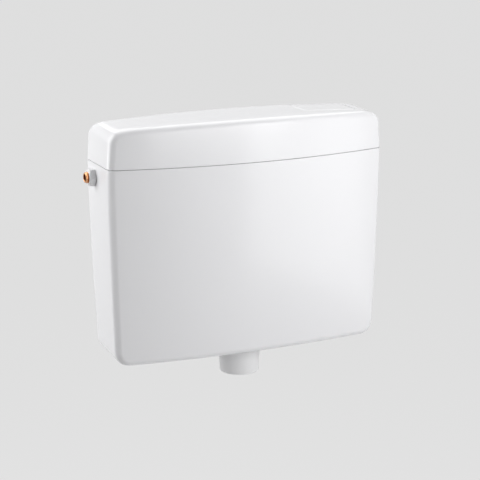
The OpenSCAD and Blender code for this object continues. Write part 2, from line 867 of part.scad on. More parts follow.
module lift_bail() {
    color(blue)
        difference() {
            union() {
                at_outlet(collar_z)
                    pipe(collar_r, tube_r + fix_gap, collar_h);
                for (side = [-1, 1]) {
                    y = lever_y + side * bail_y;
                    box([-bail_r, y - bail_t / 2, collar_z], [bail_r, y + bail_t / 2, bail_z + bail_r]);
                }
                bar_y(0, lever_y, bail_z, bail_r, 2 * bail_y);
            }
            at_outlet(collar_z - over)
                cylinder(r = tube_r + fix_gap, h = collar_h + 2 * over);
        }
}

module overflow_tube() {
    low = washer_z - foot_t;
    color(ivory)
        difference() {
            union() {
                at_outlet(low)
                    cylinder(r = tube_r, h = tube_top - low);
                at_outlet(foot_z)
                    cylinder(r = washer_r - side_gap, h = foot_t);
                at_outlet(low)
                    cylinder(r = bore_r - 2 * side_gap - tube_wall, h = foot_t);
            }
            at_outlet(low - over)
                cylinder(r = tube_r - tube_wall, h = tube_top - low + 2 * over);
        }
}

module valve_float() {
    color(blue)
        at_outlet(bell_z)
            pipe(bell_r, tube_r + fix_gap, bell_h);
}

module valve_seal() {
    color(black)
        at_outlet(washer_z)
            pipe(washer_r, tube_r + fix_gap, washer_t);
}

module valve_cage() {
    color(grey) {
        at_outlet(cage_z)
            pipe(cage_out, cage_in, cage_ring);
        at_outlet(cage_z + cage_h - cage_ring)
            pipe(cage_out, cage_in, cage_ring);
        at_outlet(cage_z + cage_h - cage_ring)
            pipe(guide_r + guide_wall, guide_r, cage_ring);
        for (a = [45 : 90 : 315])
            at_outlet(cage_z)
                rotate([0, 0, a]) {
                    box([cage_in + side_gap, -cage_leg / 2, 0],
                        [cage_out - side_gap, cage_leg / 2, cage_h]);
                    box([guide_r + guide_wall / 2, -cage_leg / 2, cage_h - cage_ring],
                        [cage_out - side_gap, cage_leg / 2, cage_h]);
                }
    }
}

module outlet_body() {
    low = bottom_z - tail_out;
    color(ivory)
        difference() {
            union() {
                at_outlet(low)
                    cylinder(r = tail_r, h = seat_z - seat_h - low);
                at_outlet(flange_z)
                    cylinder(r = max(outlet_r, cage_out), h = outlet_flange);
                at_outlet(flange_z)
                    cylinder(r = seat_r, h = outlet_flange + seat_h);
            }
            at_outlet(low - over)
                cylinder(r = bore_r, h = seat_z - low + 2 * over);
        }
}

module outlet_gasket() {
    color(black)
        at_outlet(sump_floor)
            pipe(outlet_r, tail_r + fix_gap, outlet_gasket_t);
}

module outlet_locknut() {
    slot = locknut_rim / 2;
    color(ivory)
        difference() {
            at_outlet(sump_z - locknut_t)
                pipe(locknut_r, tail_r + fix_gap, locknut_t);
            for (a = [0 : 60 : 300])
                at_outlet(sump_z - locknut_t - over)
                    rotate([0, 0, a])
                        translate([locknut_r - slot, -slot / 2, 0])
                            cube([locknut_rim, slot, locknut_t / 2 + over]);
        }
}

module flush_pipe_seal() {
    low = bottom_z - pipe_nut_l + pipe_lip + tail_wall / 2;
    color(black)
        at_outlet(low + fix_gap)
            pipe(tail_r - fix_gap, pipe_r + pipe_gap, bottom_z - tail_out - low - 2 * fix_gap);
}

module flush_pipe_nut() {
    top = 2 * over;
    low = -pipe_nut_l;
    hole = pipe_r + pipe_gap;
    wide = tail_r + fix_gap;
    low_r = pipe_nut_r - pipe_nut_draw;
    e = pipe_nut_edge;
    edge = [for (i = [0 : round_steps]) let (a = -90 + 90 * i / round_steps)
        [low_r - e + e * cos(a), low + e + e * sin(a)]];
    color(white)
        at_outlet(bottom_z)
            rotate_extrude()
                polygon(concat(
                    [[wide, top], [wide, low + pipe_lip + tail_wall / 2],
                     [hole, low + pipe_lip], [hole, low]],
                    edge,
                    [[pipe_nut_r, top]]
                ));
}

module inlet_stub() {
    inner = flange_face - flange_t;
    color(brass)
        at_end(-1)
            difference() {
                union() {
                    translate([0, 0, inner])
                        cylinder(r = neck_r, h = nut_face - inner + over);
                    translate([0, 0, nut_face])
                        cylinder(r = stub_r, h = stub_out - nut_face);
                    translate([0, 0, inner])
                        cylinder(r = flange_r, h = flange_t);
                    translate([0, 0, inner - spigot_l])
                        cylinder(r = spigot_r, h = spigot_l + over);
                }
                translate([0, 0, inner - spigot_l - over])
                    cylinder(r = stub_bore, h = spigot_l - inner + stub_out + 2 * over);
            }
}

module inlet_nut() {
    color(white)
        at_end(-1)
            translate([0, 0, fix_gap])
                hex_nut(stub_r + fix_gap, nut_t);
}

// Rubber ring on the pad inside one end
module end_gasket(side) {
    color(black)
        at_end(side)
            translate([0, 0, flange_face])
                pipe(flange_r, stub_r + fix_gap, end_gasket_t);
}

module inlet_gasket() {
    end_gasket(-1);
}

module inlet_strainer() {
    cup = stub_bore - fix_gap;
    color(blue)
        at_end(-1)
            translate([0, 0, flange_face - flange_t - spigot_l])
                difference() {
                    cylinder(r = cup, h = strainer_l);
                    translate([0, 0, strainer_wall])
                        cylinder(r = cup - strainer_wall, h = strainer_l);
                }
}

module fill_valve_body() {
    chamber = valve_l - spigot_l - fill_wall;
    color(ivory)
        difference() {
            union() {
                along_inlet(valve_x)
                    cylinder(r = valve_r, h = valve_l);
                translate([spout_x, inlet_y, inlet_z - spout_l])
                    cylinder(r = spout_r, h = spout_l);
            }
            along_inlet(valve_x - over)
                cylinder(r = spigot_r + fix_gap, h = spigot_l + fill_wall + over);
            along_inlet(valve_x + valve_l - chamber - over)
                cylinder(r = valve_r - 2 * fill_wall - cap_wall, h = chamber + 2 * over);
            translate([spout_x, inlet_y, inlet_z - spout_l - over])
                cylinder(r = spout_r - fill_wall, h = spout_l + over);
        }
}

module valve_diaphragm() {
    color(black)
        along_inlet(valve_x + valve_l)
            cylinder(r = valve_r, h = diaphragm_t);
}

module fill_valve_cap() {
    skirt = cap_lap + diaphragm_t;
    ear = arm_w / 2 + side_gap;
    color(grey)
        difference() {
            union() {
                along_inlet(cap_x - skirt)
                    cylinder(r = cap_r, h = skirt + cap_end);
                for (side = [-1, 1]) {
                    y = inlet_y + side * (ear + ear_t / 2);
                    bar_y(arm_x, y, arm_z, arm_hub, ear_t);
                    box([cap_face - cap_end / 2, y - ear_t / 2, arm_z - arm_hub],
                        [arm_x, y + ear_t / 2, arm_z + arm_hub]);
                }
            }
            along_inlet(cap_x - skirt - over)
                cylinder(r = valve_r + fix_gap, h = skirt + over);
            along_inlet(cap_x - over)
                cylinder(r = plunger_r + run_gap, h = cap_end + 2 * over);
            bar_y(arm_x, inlet_y, arm_z, arm_pin_r + fix_gap, 2 * (ear + ear_t + over));
        }
}

module valve_plunger() {
    color(steel) {
        along_inlet(plunger_start)
            cylinder(r = plunger_r, h = plunger_end - plunger_r - plunger_start);
        along_inlet(plunger_end - plunger_r)
            sphere(r = plunger_r);
    }
}

module float_arm() {
    boss = rod_r + run_gap + hub_wall;
    color(grey)
        at_arm()
            difference() {
                union() {
                    bar_y(0, 0, 0, arm_hub, arm_w);
                    box([-arm_t / 2, -arm_w / 2, 0], [arm_t / 2, arm_w / 2, arm_top]);
                    box([0, -arm_w / 2, -arm_t / 2], [arm_reach, arm_w / 2, arm_t / 2]);
                    translate([arm_reach, 0, -arm_t])
                        cylinder(r = boss, h = 2 * arm_t);
                }
                bar_y(0, 0, 0, arm_pin_r + run_gap, arm_w + 2 * over);
                translate([arm_reach, 0, -arm_t - over])
                    cylinder(r = rod_r + fix_gap, h = 2 * arm_t + 2 * over);
            }
}

module float_arm_pin() {
    color(steel)
        bar_y(arm_x, inlet_y, arm_z, arm_pin_r, 2 * (arm_w / 2 + side_gap + ear_t));
}

module float_rod() {
    color(blue)
        at_arm()
            translate([arm_reach, 0, 0]) {
                translate([0, 0, -float_drop])
                    cylinder(r = rod_r, h = float_drop + arm_t + over);
                translate([0, 0, arm_t + fix_gap])
                    cylinder(r = rod_r + hub_wall, h = arm_t);
            }
}

module float() {
    mid = float_y1 - float_l / 2 - inlet_y;
    color(ivory)
        at_arm()
            difference() {
                bar_y(arm_reach, mid, -float_drop, float_r, float_l);
                translate([arm_reach, 0, -float_drop - over])
                    cylinder(r = rod_r + fix_gap, h = float_r + 2 * over);
            }
}

module fill_tube() {
    low = bottom_z + fill_end;
    color(ivory)
        translate([spout_x, inlet_y, low])
            pipe(fill_r, spout_r + fix_gap, fill_top - low);
}

module blanking_plug() {
    inner = flange_face - plug_nut_t - over;
    color(white)
        at_end(1) {
            translate([0, 0, inner])
                cylinder(r = neck_r, h = fix_gap - inner + over);
            translate([0, 0, fix_gap])
                cylinder(r1 = flange_r + over, r2 = flange_r - over, h = plug_head);
        }
}

module plug_gasket() {
    end_gasket(1);
}

module plug_nut() {
    color(white)
        at_end(1)
            translate([0, 0, flange_face])
                mirror([0, 0, 1])
                    hex_nut(neck_r + fix_gap, plug_nut_t);
}

tank();
insulating_liner();
lid();
flush_plate();
plate_pin();
plate_spring();
lever_bridge();
lever_pin();
lift_lever();
lift_bail();
overflow_tube();
valve_float();
valve_seal();
valve_cage();
outlet_body();
outlet_gasket();
outlet_locknut();
flush_pipe_seal();
flush_pipe_nut();
inlet_stub();
inlet_nut();
inlet_gasket();
inlet_strainer();
fill_valve_body();
fill_valve_cap();
valve_diaphragm();
valve_plunger();
float_arm();
float_arm_pin();
float_rod();
float();
fill_tube();
blanking_plug();
plug_gasket();
plug_nut();
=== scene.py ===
"""Models a wall-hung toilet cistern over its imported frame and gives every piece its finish."""

import json
import math

import bmesh
import bpy
from bpy.props import FloatProperty, FloatVectorProperty, PointerProperty
from mathutils import Matrix, Vector


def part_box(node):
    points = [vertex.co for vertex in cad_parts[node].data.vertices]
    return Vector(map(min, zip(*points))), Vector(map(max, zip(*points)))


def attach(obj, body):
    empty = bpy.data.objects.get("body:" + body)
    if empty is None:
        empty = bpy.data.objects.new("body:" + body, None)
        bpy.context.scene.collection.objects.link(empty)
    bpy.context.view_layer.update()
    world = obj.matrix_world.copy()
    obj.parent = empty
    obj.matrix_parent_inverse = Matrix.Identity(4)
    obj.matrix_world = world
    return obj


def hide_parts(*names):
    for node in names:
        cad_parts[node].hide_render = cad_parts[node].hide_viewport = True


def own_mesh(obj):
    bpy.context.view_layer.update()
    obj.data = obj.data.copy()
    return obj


bl_info = {
    "name": "Wall-hung cistern",
    "version": (1, 0, 0),
    "blender": (4, 5, 0),
    "location": "3D View > Sidebar > Cistern",
    "description": "Models and finishes a wall-hung toilet cistern over its packed frame",
    "category": "Object",
}

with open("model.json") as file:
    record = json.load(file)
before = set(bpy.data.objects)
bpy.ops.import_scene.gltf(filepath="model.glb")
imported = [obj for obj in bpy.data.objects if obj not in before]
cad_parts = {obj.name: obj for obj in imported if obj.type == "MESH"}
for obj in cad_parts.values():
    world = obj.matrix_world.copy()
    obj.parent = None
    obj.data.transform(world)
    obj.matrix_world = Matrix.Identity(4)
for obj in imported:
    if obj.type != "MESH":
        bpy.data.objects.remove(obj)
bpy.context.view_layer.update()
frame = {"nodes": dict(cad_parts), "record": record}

MM = 0.001
X, Y, Z = Vector((1, 0, 0)), Vector((0, 1, 0)), Vector((0, 0, 1))
# Planes that cut the shells into strips, so that they can bow
STRIPS = [i * 10 * MM for i in range(-20, 21)]


# Sizes and colours


def linear(hex_colour):
    """Linear red, green and blue of an sRGB hex value."""
    parts = [int(hex_colour[i : i + 2], 16) / 255 for i in (1, 3, 5)]
    return tuple(p / 12.92 if p <= 0.04045 else ((p + 0.055) / 1.055) ** 2.4 for p in parts)


def length(name, description, millimetres):
    """Property for a length that is written in millimetres."""
    return FloatProperty(
        name=name, description=description, default=millimetres * MM, unit="LENGTH", precision=4
    )


def paint(name, description, hex_colour):
    """Property for a colour that is written as an sRGB hex value."""
    return FloatVectorProperty(
        name=name, description=description, default=linear(hex_colour), subtype="COLOR", min=0, max=1
    )


class CisternSizes(bpy.types.PropertyGroup):
    """Sizes of the moulded shells and of what shows on them."""

    half_width: length("Half width", "Half the tank's width at the seam", 220)
    end_depth: length("End depth", "From the wall to the front corners", 95)
    front_bow: length("Front bow", "How far the front's middle stands out at the seam", 29)
    low_bow: length("Lower bow", "The front's bow at the underside", 16)
    seam: length("Seam height", "Height of the seam over the fixing holes", 35)
    seam_gap: length("Seam gap", "Open gap between the tank and the lid", 1.1)
    tank_height: length("Tank height", "From the underside to the seam", 297)
    end_taper: length("End taper", "How much each end draws in at the underside's back", 11)
    front_taper: length("Front taper", "How much each end draws in at the underside's front", 7)
    corner_taper: length("Corner taper", "How much the front corners draw in", 2)
    taper_curve: FloatProperty(
        name="Taper curve", description="Shape of the taper: 1 is straight", default=1.5
    )
    wall: length("Wall", "Thickness of the tank's wall", 4)
    edge_radius: length("Edge radius", "Rounding round the fronts of tank and lid", 10)
    lower_radius: length("Lower radius", "Rounding of the underside at the ends", 22)
    lid_height: length("Lid height", "Height of the lid's crest over the seam", 63)
    lid_crown: length("Lid crown", "Fall of the lid's top from crest to ends", 7)
    lid_wall: length("Lid wall", "Thickness of the lid's wall", 3)
    corner_drop: length("Corner drop", "How much lower the lid's front corners are than its back corners", 5)
    corner_reach: length("Corner reach", "How far in from each end the corners begin to drop", 35)
    lid_draft: length("Lid draft", "How much the lid's ends lean in up to the crest", 4)
    end_round: length("End rounding", "Rounding of the lid's top at the ends", 13)
    top_round: length("Back fall", "Height of the rounding along the back of the lid", 10.5)
    back_round: length("Back rounding", "How far it reaches in from the back", 20)
    panel_rise: length("Panel rise", "How far the flat of the lid's top stands up inside its border", 0.7)
    panel_slope: length("Panel slope", "Width of the slope round that flat", 2.5)
    plate_left: length("Plate's left edge", "From the middle of the lid", 100)
    plate_right: length("Plate's right edge", "From the middle of the lid", 185)
    plate_depth: length("Plate depth", "Depth of the push plate", 52)
    plate_back: length("Plate's middle", "From the wall to the middle of the plate", 48)
    plate_corner: length("Plate corners", "Rounding of the plate's corners", 6)
    plate_gap: length("Plate gap", "Gap round the push plate", 1.2)
    well_wall: length("Well wall", "Wall of the well under the plate", 2.5)
    outlet_back: length("Outlet", "From the wall to the outlet's axis", 54)
    thread_pitch: length("Thread pitch", "Pitch of the inlet's pipe thread", 1.337)
    fixing: length("Fixing", "From the middle to each wall-fixing hole", 100)
    finger: length("Finger", "From the middle of the lid to the push plate's finger", 128)
    arm_reach: length("Arm reach", "From the float arm's pin to its rod", 60)
    float_drop: length("Float drop", "From the float arm to the float's axis", 36)


class CisternColours(bpy.types.PropertyGroup):
    """Colours of the plastics, the rubber and the metals."""

    white: paint("White", "Tank, lid and push plate", "#F4F4F6")
    nut_white: paint("Nut white", "Nuts and plug", "#F0F0F1")
    foam: paint("Foam", "Liner beads", "#F2F1EA")
    ivory: paint("Ivory", "Tubes and lever", "#E4DDCA")
    grey: paint("Grey", "Bridge, cage and cap", "#A3A9AE")
    blue: paint("Blue", "Bail, ring float and strainer", "#2F66A8")
    black: paint("Black", "Gaskets and seals", "#26262A")
    brass: paint("Brass", "Inlet tail", "#D19A6E")
    steel: paint("Steel", "Pins and spring", "#C3C6C9")
    ground: paint("Floor", "Floor and background", "#DFDFDF")


# Modelling


def mm(*points):
    """Points that are written in millimetres."""
    return [tuple(n * MM for n in point) for point in points]


def centre_of(box):
    """Middle of a box."""
    low, high = box
    return (low + high) / 2


def smooth_step(value):
    """Eased share between 0 and 1."""
    t = min(1.0, max(0.0, value))
    return t * t * (3 - 2 * t)


def block(half, front, back, low, high):
    """Fresh bmesh of a box, even about the middle of the wall."""
    bm = bmesh.new()
    middle = Matrix.Translation((0, (front + back) / 2, (low + high) / 2))
    shape = Matrix.Diagonal((2 * half, back - front, high - low, 1))
    bmesh.ops.create_cube(bm, size=1, matrix=middle @ shape)
    return bm


def near(a, b):
    """Whether two lengths are the same for a modeller."""
    return abs(a - b) < 1e-5


def round_edges(bm, edges, radius, segments):
    """Round edges to a radius."""
    bmesh.ops.bevel(
        bm, geom=edges, offset=radius, segments=segments, profile=0.5, affect="EDGES", material=-1
    )


def cut(bm, axis, *places):
    """Cut right through along planes across one axis, keeping both sides."""
    normal = Vector((axis == 0, axis == 1, axis == 2))
    for place in places:
        bmesh.ops.bisect_plane(bm, geom=whole(bm), dist=1e-6, plane_co=normal * place, plane_no=normal)


def whole(bm):
    """Every point, edge and face of a bmesh."""
    return [*bm.verts, *bm.edges, *bm.faces]


def boundary(bm):
    """Open edges of a shell."""
    return [e for e in bm.edges if e.is_boundary]


def window(bm, low, high, facing, make_loop):
    """Take a window out of one sheet of a shell and fill it again up to a new loop; returns the loop."""
    for axis in range(3):
        if abs(facing[axis]) < 0.5:
            cut(bm, axis, low[axis], high[axis])
    bm.normal_update()
    inside = {
        f
        for f in bm.faces
        if f.normal.dot(facing) > 0.8 and all(low[i] < f.calc_center_median()[i] < high[i] for i in range(3))
    }
    rim = [e for f in inside for e in f.edges if sum(g in inside for g in e.link_faces) == 1]
    bmesh.ops.delete(bm, geom=list(inside), context="FACES")
    loop = make_loop(bm)
    bmesh.ops.triangle_fill(bm, use_beauty=True, edges=rim + loop, normal=facing)
    return loop


def ring_loop(centre, normal, radius, segments=64):
    """Maker of a round loop of edges."""

    def make(bm):
        old = set(bm.edges)
        turn = Matrix.Translation(centre) @ normal.to_track_quat("Z", "Y").to_matrix().to_4x4()
        bmesh.ops.create_circle(bm, segments=segments, radius=radius, matrix=turn)
        return [e for e in bm.edges if e not in old]

    return make


def plate_loop(x0, x1, y0, y1, corner, height):
    """Maker of a loop with rounded corners whose height follows the lid's crown."""

    def make(bm):
        old = set(bm.edges)
        middle = Matrix.Translation(((x0 + x1) / 2, (y0 + y1) / 2, 0))
        shape = middle @ Matrix.Diagonal((x1 - x0, y1 - y0, 1, 1))
        made = bmesh.ops.create_grid(bm, x_segments=1, y_segments=1, size=0.5, matrix=shape)
        bmesh.ops.bevel(
            bm, geom=made["verts"], offset=corner, segments=5, profile=0.5, affect="VERTICES", material=-1
        )
        fresh = [e for e in bm.edges if e not in old]
        bmesh.ops.delete(bm, geom=list({f for e in fresh for f in e.link_faces}), context="FACES_ONLY")
        long_edges = [e for e in fresh if e.calc_length() > 2 * corner]
        bmesh.ops.subdivide_edges(bm, edges=long_edges, cuts=9)
        fresh = [e for e in bm.edges if e not in old]
        for v in {v for e in fresh for v in e.verts}:
            v.co.z = height(v.co.x)
        return fresh

    return make


def pull(bm, loop, move):
    """Extrude a loop of edges and move its new points; returns the new loop."""
    made = bmesh.ops.extrude_edge_only(bm, edges=loop)["geom"]
    for v in made:
        if isinstance(v, bmesh.types.BMVert):
            v.co = move(v.co)
    return [e for e in made if isinstance(e, bmesh.types.BMEdge)]


def cap(bm, loop):
    """Close a flat loop."""
    bmesh.ops.triangle_fill(bm, use_beauty=True, edges=loop)


def add_box(bm, low, high, radius, place=Matrix.Identity(4)):
    """Box with rounded edges, added to a bmesh."""
    low, high = Vector(low), Vector(high)
    shape = Matrix.Translation((low + high) / 2) @ Matrix.Diagonal((*(high - low), 1))
    made = bmesh.ops.create_cube(bm, size=1, matrix=place @ shape)["verts"]
    if radius:
        round_edges(bm, list({e for v in made for e in v.link_edges}), radius, 2)


def prism(bm, outline, low, high, radius, place=Matrix.Identity(4)):
    """Outline in X and Z carried along Y, with its edges rounded."""
    old = set(bm.verts)
    face = bm.faces.new([bm.verts.new((x, low, z)) for x, z in outline])
    made = bmesh.ops.extrude_face_region(bm, geom=[face])["geom"]
    far = [v for v in made if isinstance(v, bmesh.types.BMVert)]
    bmesh.ops.translate(bm, vec=(0, high - low, 0), verts=far)
    fresh = settle(bm, old, place)
    if radius:
        round_edges(bm, list({e for v in fresh for e in v.link_edges}), radius, 2)


def ring(bm, inner, outer, low, high, place, segments=64, edge=0.5 * MM):
    """Ring with chamfered edges, turned round the place's own Z."""
    profile = [(inner, low + edge), (inner + edge, low), (outer - edge, low), (outer, low + edge)]
    profile += [(outer, high - edge), (outer - edge, high), (inner + edge, high), (inner, high - edge)]
    turned(bm, profile, place, segments)


def turned(bm, profile, place, segments=64, closed=True):
    """Turn a profile of radius and height round its axis, and put it in place."""
    old = set(bm.verts)
    points = [bm.verts.new((r, 0, h)) for r, h in profile]
    edges = [bm.edges.new(pair) for pair in zip(points, points[1:])]
    if closed:
        edges.append(bm.edges.new((points[-1], points[0])))
    bmesh.ops.spin(
        bm, geom=points + edges, cent=(0, 0, 0), axis=Z, angle=2 * math.pi, steps=segments, use_merge=True
    )
    settle(bm, old, place)


def settle(bm, old, place):
    """Join what is new, turn its faces outwards and put it in place; returns its points."""
    fresh = [v for v in bm.verts if v not in old]
    bmesh.ops.remove_doubles(bm, verts=fresh, dist=1e-7)
    fresh = [v for v in bm.verts if v not in old]
    bmesh.ops.recalc_face_normals(bm, faces=list({f for v in fresh for f in v.link_faces}))
    bmesh.ops.transform(bm, matrix=place, verts=fresh)
    return fresh


def rod(bm, radius, low, high, place, segments=32):
    """Plain round bar along the place's own Z."""
    turned(bm, [(0, low), (radius, low), (radius, high), (0, high)], place, segments, False)


def arc(centre, height, radius, start, stop, steps=6):
    """Points of an arc in a profile, between two angles in degrees."""
    angles = [math.radians(start + (stop - start) * i / steps) for i in range(steps + 1)]
    return [(centre + radius * math.cos(a), height + radius * math.sin(a)) for a in angles]


def along(axis, centre):
    """Place whose own Z lies along an axis."""
    return Matrix.Translation(centre) @ Vector(axis).to_track_quat("Z", "Y").to_matrix().to_4x4()


def piece(context, bm, name, body, slot, *nodes, crisp=32, soften=0):
    """Turn a bmesh into a piece that rides on a body and stands for its nodes."""
    bmesh.ops.dissolve_degenerate(bm, dist=1e-7, edges=bm.edges[:])
    bm.normal_update()
    for f in bm.faces:
        f.smooth = True
    for e in bm.edges:
        e.smooth = not (len(e.link_faces) == 2 and e.calc_face_angle(0) > math.radians(crisp))
    mesh = bpy.data.meshes.new(name)
    bm.to_mesh(mesh)
    bm.free()
    mesh.materials.append(finish(context, slot))
    obj = bpy.data.objects.new(name, mesh)
    context.scene.collection.objects.link(obj)
    if soften:
        edge = obj.modifiers.new("Edges", "BEVEL")
        edge.width = soften
        edge.segments = 2
        edge.limit_method = "ANGLE"
        edge.angle_limit = math.radians(crisp)
        edge.harden_normals = True
    even = obj.modifiers.new("Even shading", "WEIGHTED_NORMAL")
    even.keep_sharp = True
    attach(obj, body)
    if nodes:
        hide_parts(*nodes)
    return obj


# Finishes


def add(tree, kind, settings, links=()):
    """Add a shader node, set its sockets and options, and link its inputs."""
    node = tree.nodes.new(kind)
    for key, value in settings.items():
        if isinstance(key, int) or key in node.inputs:
            node.inputs[key].default_value = value
        else:
            setattr(node, key, value)
    for key, socket in dict(links).items():
        tree.links.new(socket, node.inputs[key])
    return node


def empty_tree(owner):
    """Node tree of a material or a world, with nothing in it."""
    owner.use_nodes = True
    owner.node_tree.nodes.clear()
    return owner.node_tree


def new_finish(name):
    """Node material with nothing but its coordinates."""
    material = bpy.data.materials.get(name) or bpy.data.materials.new(name)
    tree = empty_tree(material)
    return material, tree, add(tree, "ShaderNodeTexCoord", {}).outputs["Object"]


def shade(colour, factor):
    """Colour scaled in brightness, with full alpha."""
    return (*[min(1.0, c * factor) for c in colour], 1)


def moulded(name, colour, gloss, grain_mm, grain_depth, drift, ior):
    """Injection-moulded plastic: one dyed resin, faint flow marks, fine grain from the mould."""
    material, tree, place = new_finish(name)
    marks = {"Scale": 1 / (90 * MM), "Detail": 2, "Roughness": 0.4}
    flow = add(tree, "ShaderNodeTexNoise", marks, {"Vector": place})
    tones = {"data_type": "RGBA", 6: shade(colour, 1 - drift), 7: shade(colour, 1 + drift)}
    tint = add(tree, "ShaderNodeMix", tones, {0: flow.outputs["Fac"]})
    grain = add(tree, "ShaderNodeTexNoise", {"Scale": 1 / (grain_mm * MM), "Detail": 3}, {"Vector": place})
    span = {"From Min": 0.3, "From Max": 0.7, "To Min": gloss * 0.85, "To Max": gloss * 1.15}
    rough = add(tree, "ShaderNodeMapRange", span, {"Value": grain.outputs["Fac"]})
    relief = {"Strength": 0.25, "Distance": grain_depth * MM}
    bump = add(tree, "ShaderNodeBump", relief, {"Height": grain.outputs["Fac"]})
    links = {"Base Color": tint.outputs[2], "Normal": bump.outputs["Normal"]}
    links["Roughness"] = rough.outputs["Result"]
    shader = add(tree, "ShaderNodeBsdfPrincipled", {"IOR": ior}, links)
    add(tree, "ShaderNodeOutputMaterial", {}, {"Surface": shader.outputs["BSDF"]})
    return material


def gloss_abs(colour):
    """ABS moulded in a polished tool: a deep even gloss with a very slight orange peel."""
    return moulded("gloss white ABS", colour, 0.16, 9, 0.02, 0.008, 1.53)


def satin_plastic(name, colour):
    """Polypropylene or acetal moulded in a spark-eroded tool: satin, slightly waxy, fine grain."""
    return moulded(name, colour, 0.38, 1.6, 0.05, 0.03, 1.49)


def bead_foam(colour):
    """Expanded polystyrene: beads about 4 mm wide, pressed together, matt, with darker joints."""
    material, tree, place = new_finish("expanded polystyrene")
    cells = {"feature": "DISTANCE_TO_EDGE", "Scale": 1 / (4 * MM)}
    beads = add(tree, "ShaderNodeTexVoronoi", cells, {"Vector": place})
    joint = add(tree, "ShaderNodeMapRange", {"From Max": 0.18}, {"Value": beads.outputs["Distance"]})
    tones = {"data_type": "RGBA", 6: shade(colour, 0.72), 7: shade(colour, 1)}
    tint = add(tree, "ShaderNodeMix", tones, {0: joint.outputs["Result"]})
    relief = {"Strength": 0.6, "Distance": 0.4 * MM}
    bump = add(tree, "ShaderNodeBump", relief, {"Height": joint.outputs["Result"]})
    links = {"Base Color": tint.outputs[2], "Normal": bump.outputs["Normal"]}
    shader = add(tree, "ShaderNodeBsdfPrincipled", {"Roughness": 0.85}, links)
    add(tree, "ShaderNodeOutputMaterial", {}, {"Surface": shader.outputs["BSDF"]})
    return material


def pressed_rubber(colour):
    """EPDM rubber from a press mould: near black, matt, with a bloom of paler dust."""
    material, tree, place = new_finish("EPDM rubber")
    bloom = add(tree, "ShaderNodeTexNoise", {"Scale": 1 / (6 * MM), "Detail": 5}, {"Vector": place})
    tones = {"data_type": "RGBA", 6: shade(colour, 0.8), 7: shade(colour, 2.2)}
    tint = add(tree, "ShaderNodeMix", tones, {0: bloom.outputs["Fac"]})
    grain = add(tree, "ShaderNodeTexNoise", {"Scale": 1 / (0.8 * MM), "Detail": 2}, {"Vector": place})
    relief = {"Strength": 0.4, "Distance": 0.06 * MM}
    bump = add(tree, "ShaderNodeBump", relief, {"Height": grain.outputs["Fac"]})
    links = {"Base Color": tint.outputs[2], "Normal": bump.outputs["Normal"]}
    shader = add(tree, "ShaderNodeBsdfPrincipled", {"Roughness": 0.72}, links)
    add(tree, "ShaderNodeOutputMaterial", {}, {"Surface": shader.outputs["BSDF"]})
    return material


def worked_metal(name, colour, gloss, stretch):
    """Metal with fine tool marks along or across the piece, slightly uneven in tone."""
    material, tree, place = new_finish(name)
    lay = add(tree, "ShaderNodeMapping", {"Scale": stretch}, {"Vector": place})
    fine = {"Scale": 1 / (0.5 * MM), "Detail": 2}
    marks = add(tree, "ShaderNodeTexNoise", fine, {"Vector": lay.outputs["Vector"]})
    tones = {"data_type": "RGBA", 6: shade(colour, 0.86), 7: shade(colour, 1.08)}
    tint = add(tree, "ShaderNodeMix", tones, {0: marks.outputs["Fac"]})
    span = {"From Min": 0.3, "From Max": 0.7, "To Min": gloss * 0.8, "To Max": gloss * 1.3}
    rough = add(tree, "ShaderNodeMapRange", span, {"Value": marks.outputs["Fac"]})
    relief = {"Strength": 0.2, "Distance": 0.02 * MM}
    bump = add(tree, "ShaderNodeBump", relief, {"Height": marks.outputs["Fac"]})
    links = {"Base Color": tint.outputs[2], "Normal": bump.outputs["Normal"]}
    links["Roughness"] = rough.outputs["Result"]
    shader = add(tree, "ShaderNodeBsdfPrincipled", {"Metallic": 1}, links)
    add(tree, "ShaderNodeOutputMaterial", {}, {"Surface": shader.outputs["BSDF"]})
    return material


finishes = {}


def finish(context, slot):
    """Finish of one of the record's material slots, made when it is first asked for."""
    c = context.scene.cistern_colours
    if slot not in finishes:
        finishes[slot] = {
            "white_abs": lambda: gloss_abs(c.white),
            "nut_white": lambda: satin_plastic("white acetal", c.nut_white),
            "foam": lambda: bead_foam(c.foam),
            "ivory_plastic": lambda: satin_plastic("ivory polypropylene", c.ivory),
            "grey_plastic": lambda: satin_plastic("grey acetal", c.grey),
            "blue_plastic": lambda: satin_plastic("blue polypropylene", c.blue),
            "rubber": lambda: pressed_rubber(c.black),
            # Turned brass: fine rings across the axis, warm and bright
            "brass": lambda: worked_metal("turned brass", c.brass, 0.2, (1, 0.05, 0.05)),
            # Drawn steel: marks along the bar
            "steel": lambda: worked_metal("drawn steel", c.steel, 0.3, (1, 0.05, 1)),
        }[slot]()
    return finishes[slot]


# Shapes that the tank and the lid share


def top_of_lid(s, x):
    """Height of the lid's top at a distance from the middle."""
    return s.seam + s.lid_height - s.lid_crown * (x / s.half_width) ** 2


def forward(s, co):
    """Share of the way from the wall to the front, eased at both ends."""
    start, reach = 0.1, 0.65
    return smooth_step((-co.y / s.end_depth - start) / reach)


def bow_out(s, co, bow):
    """How far the front stands out at a point of the straight block."""
    return bow * (1 - (co.x / s.half_width) ** 2) * forward(s, co)


def tank_warp(s, co):
    """Place on the tank of a point of its straight block: tapered down and bowed out."""
    t = max(0.0, (s.seam - co.z) / s.tank_height) ** s.taper_curve
    taper = s.end_taper - (s.front_taper - s.end_taper) * co.y / s.end_depth
    x = co.x * (1 - taper * t / s.half_width)
    bow = bow_out(s, co, s.front_bow + (s.low_bow - s.front_bow) * t)
    return Vector((x, co.y * (1 - s.corner_taper * t / s.end_depth) - bow, co.z))


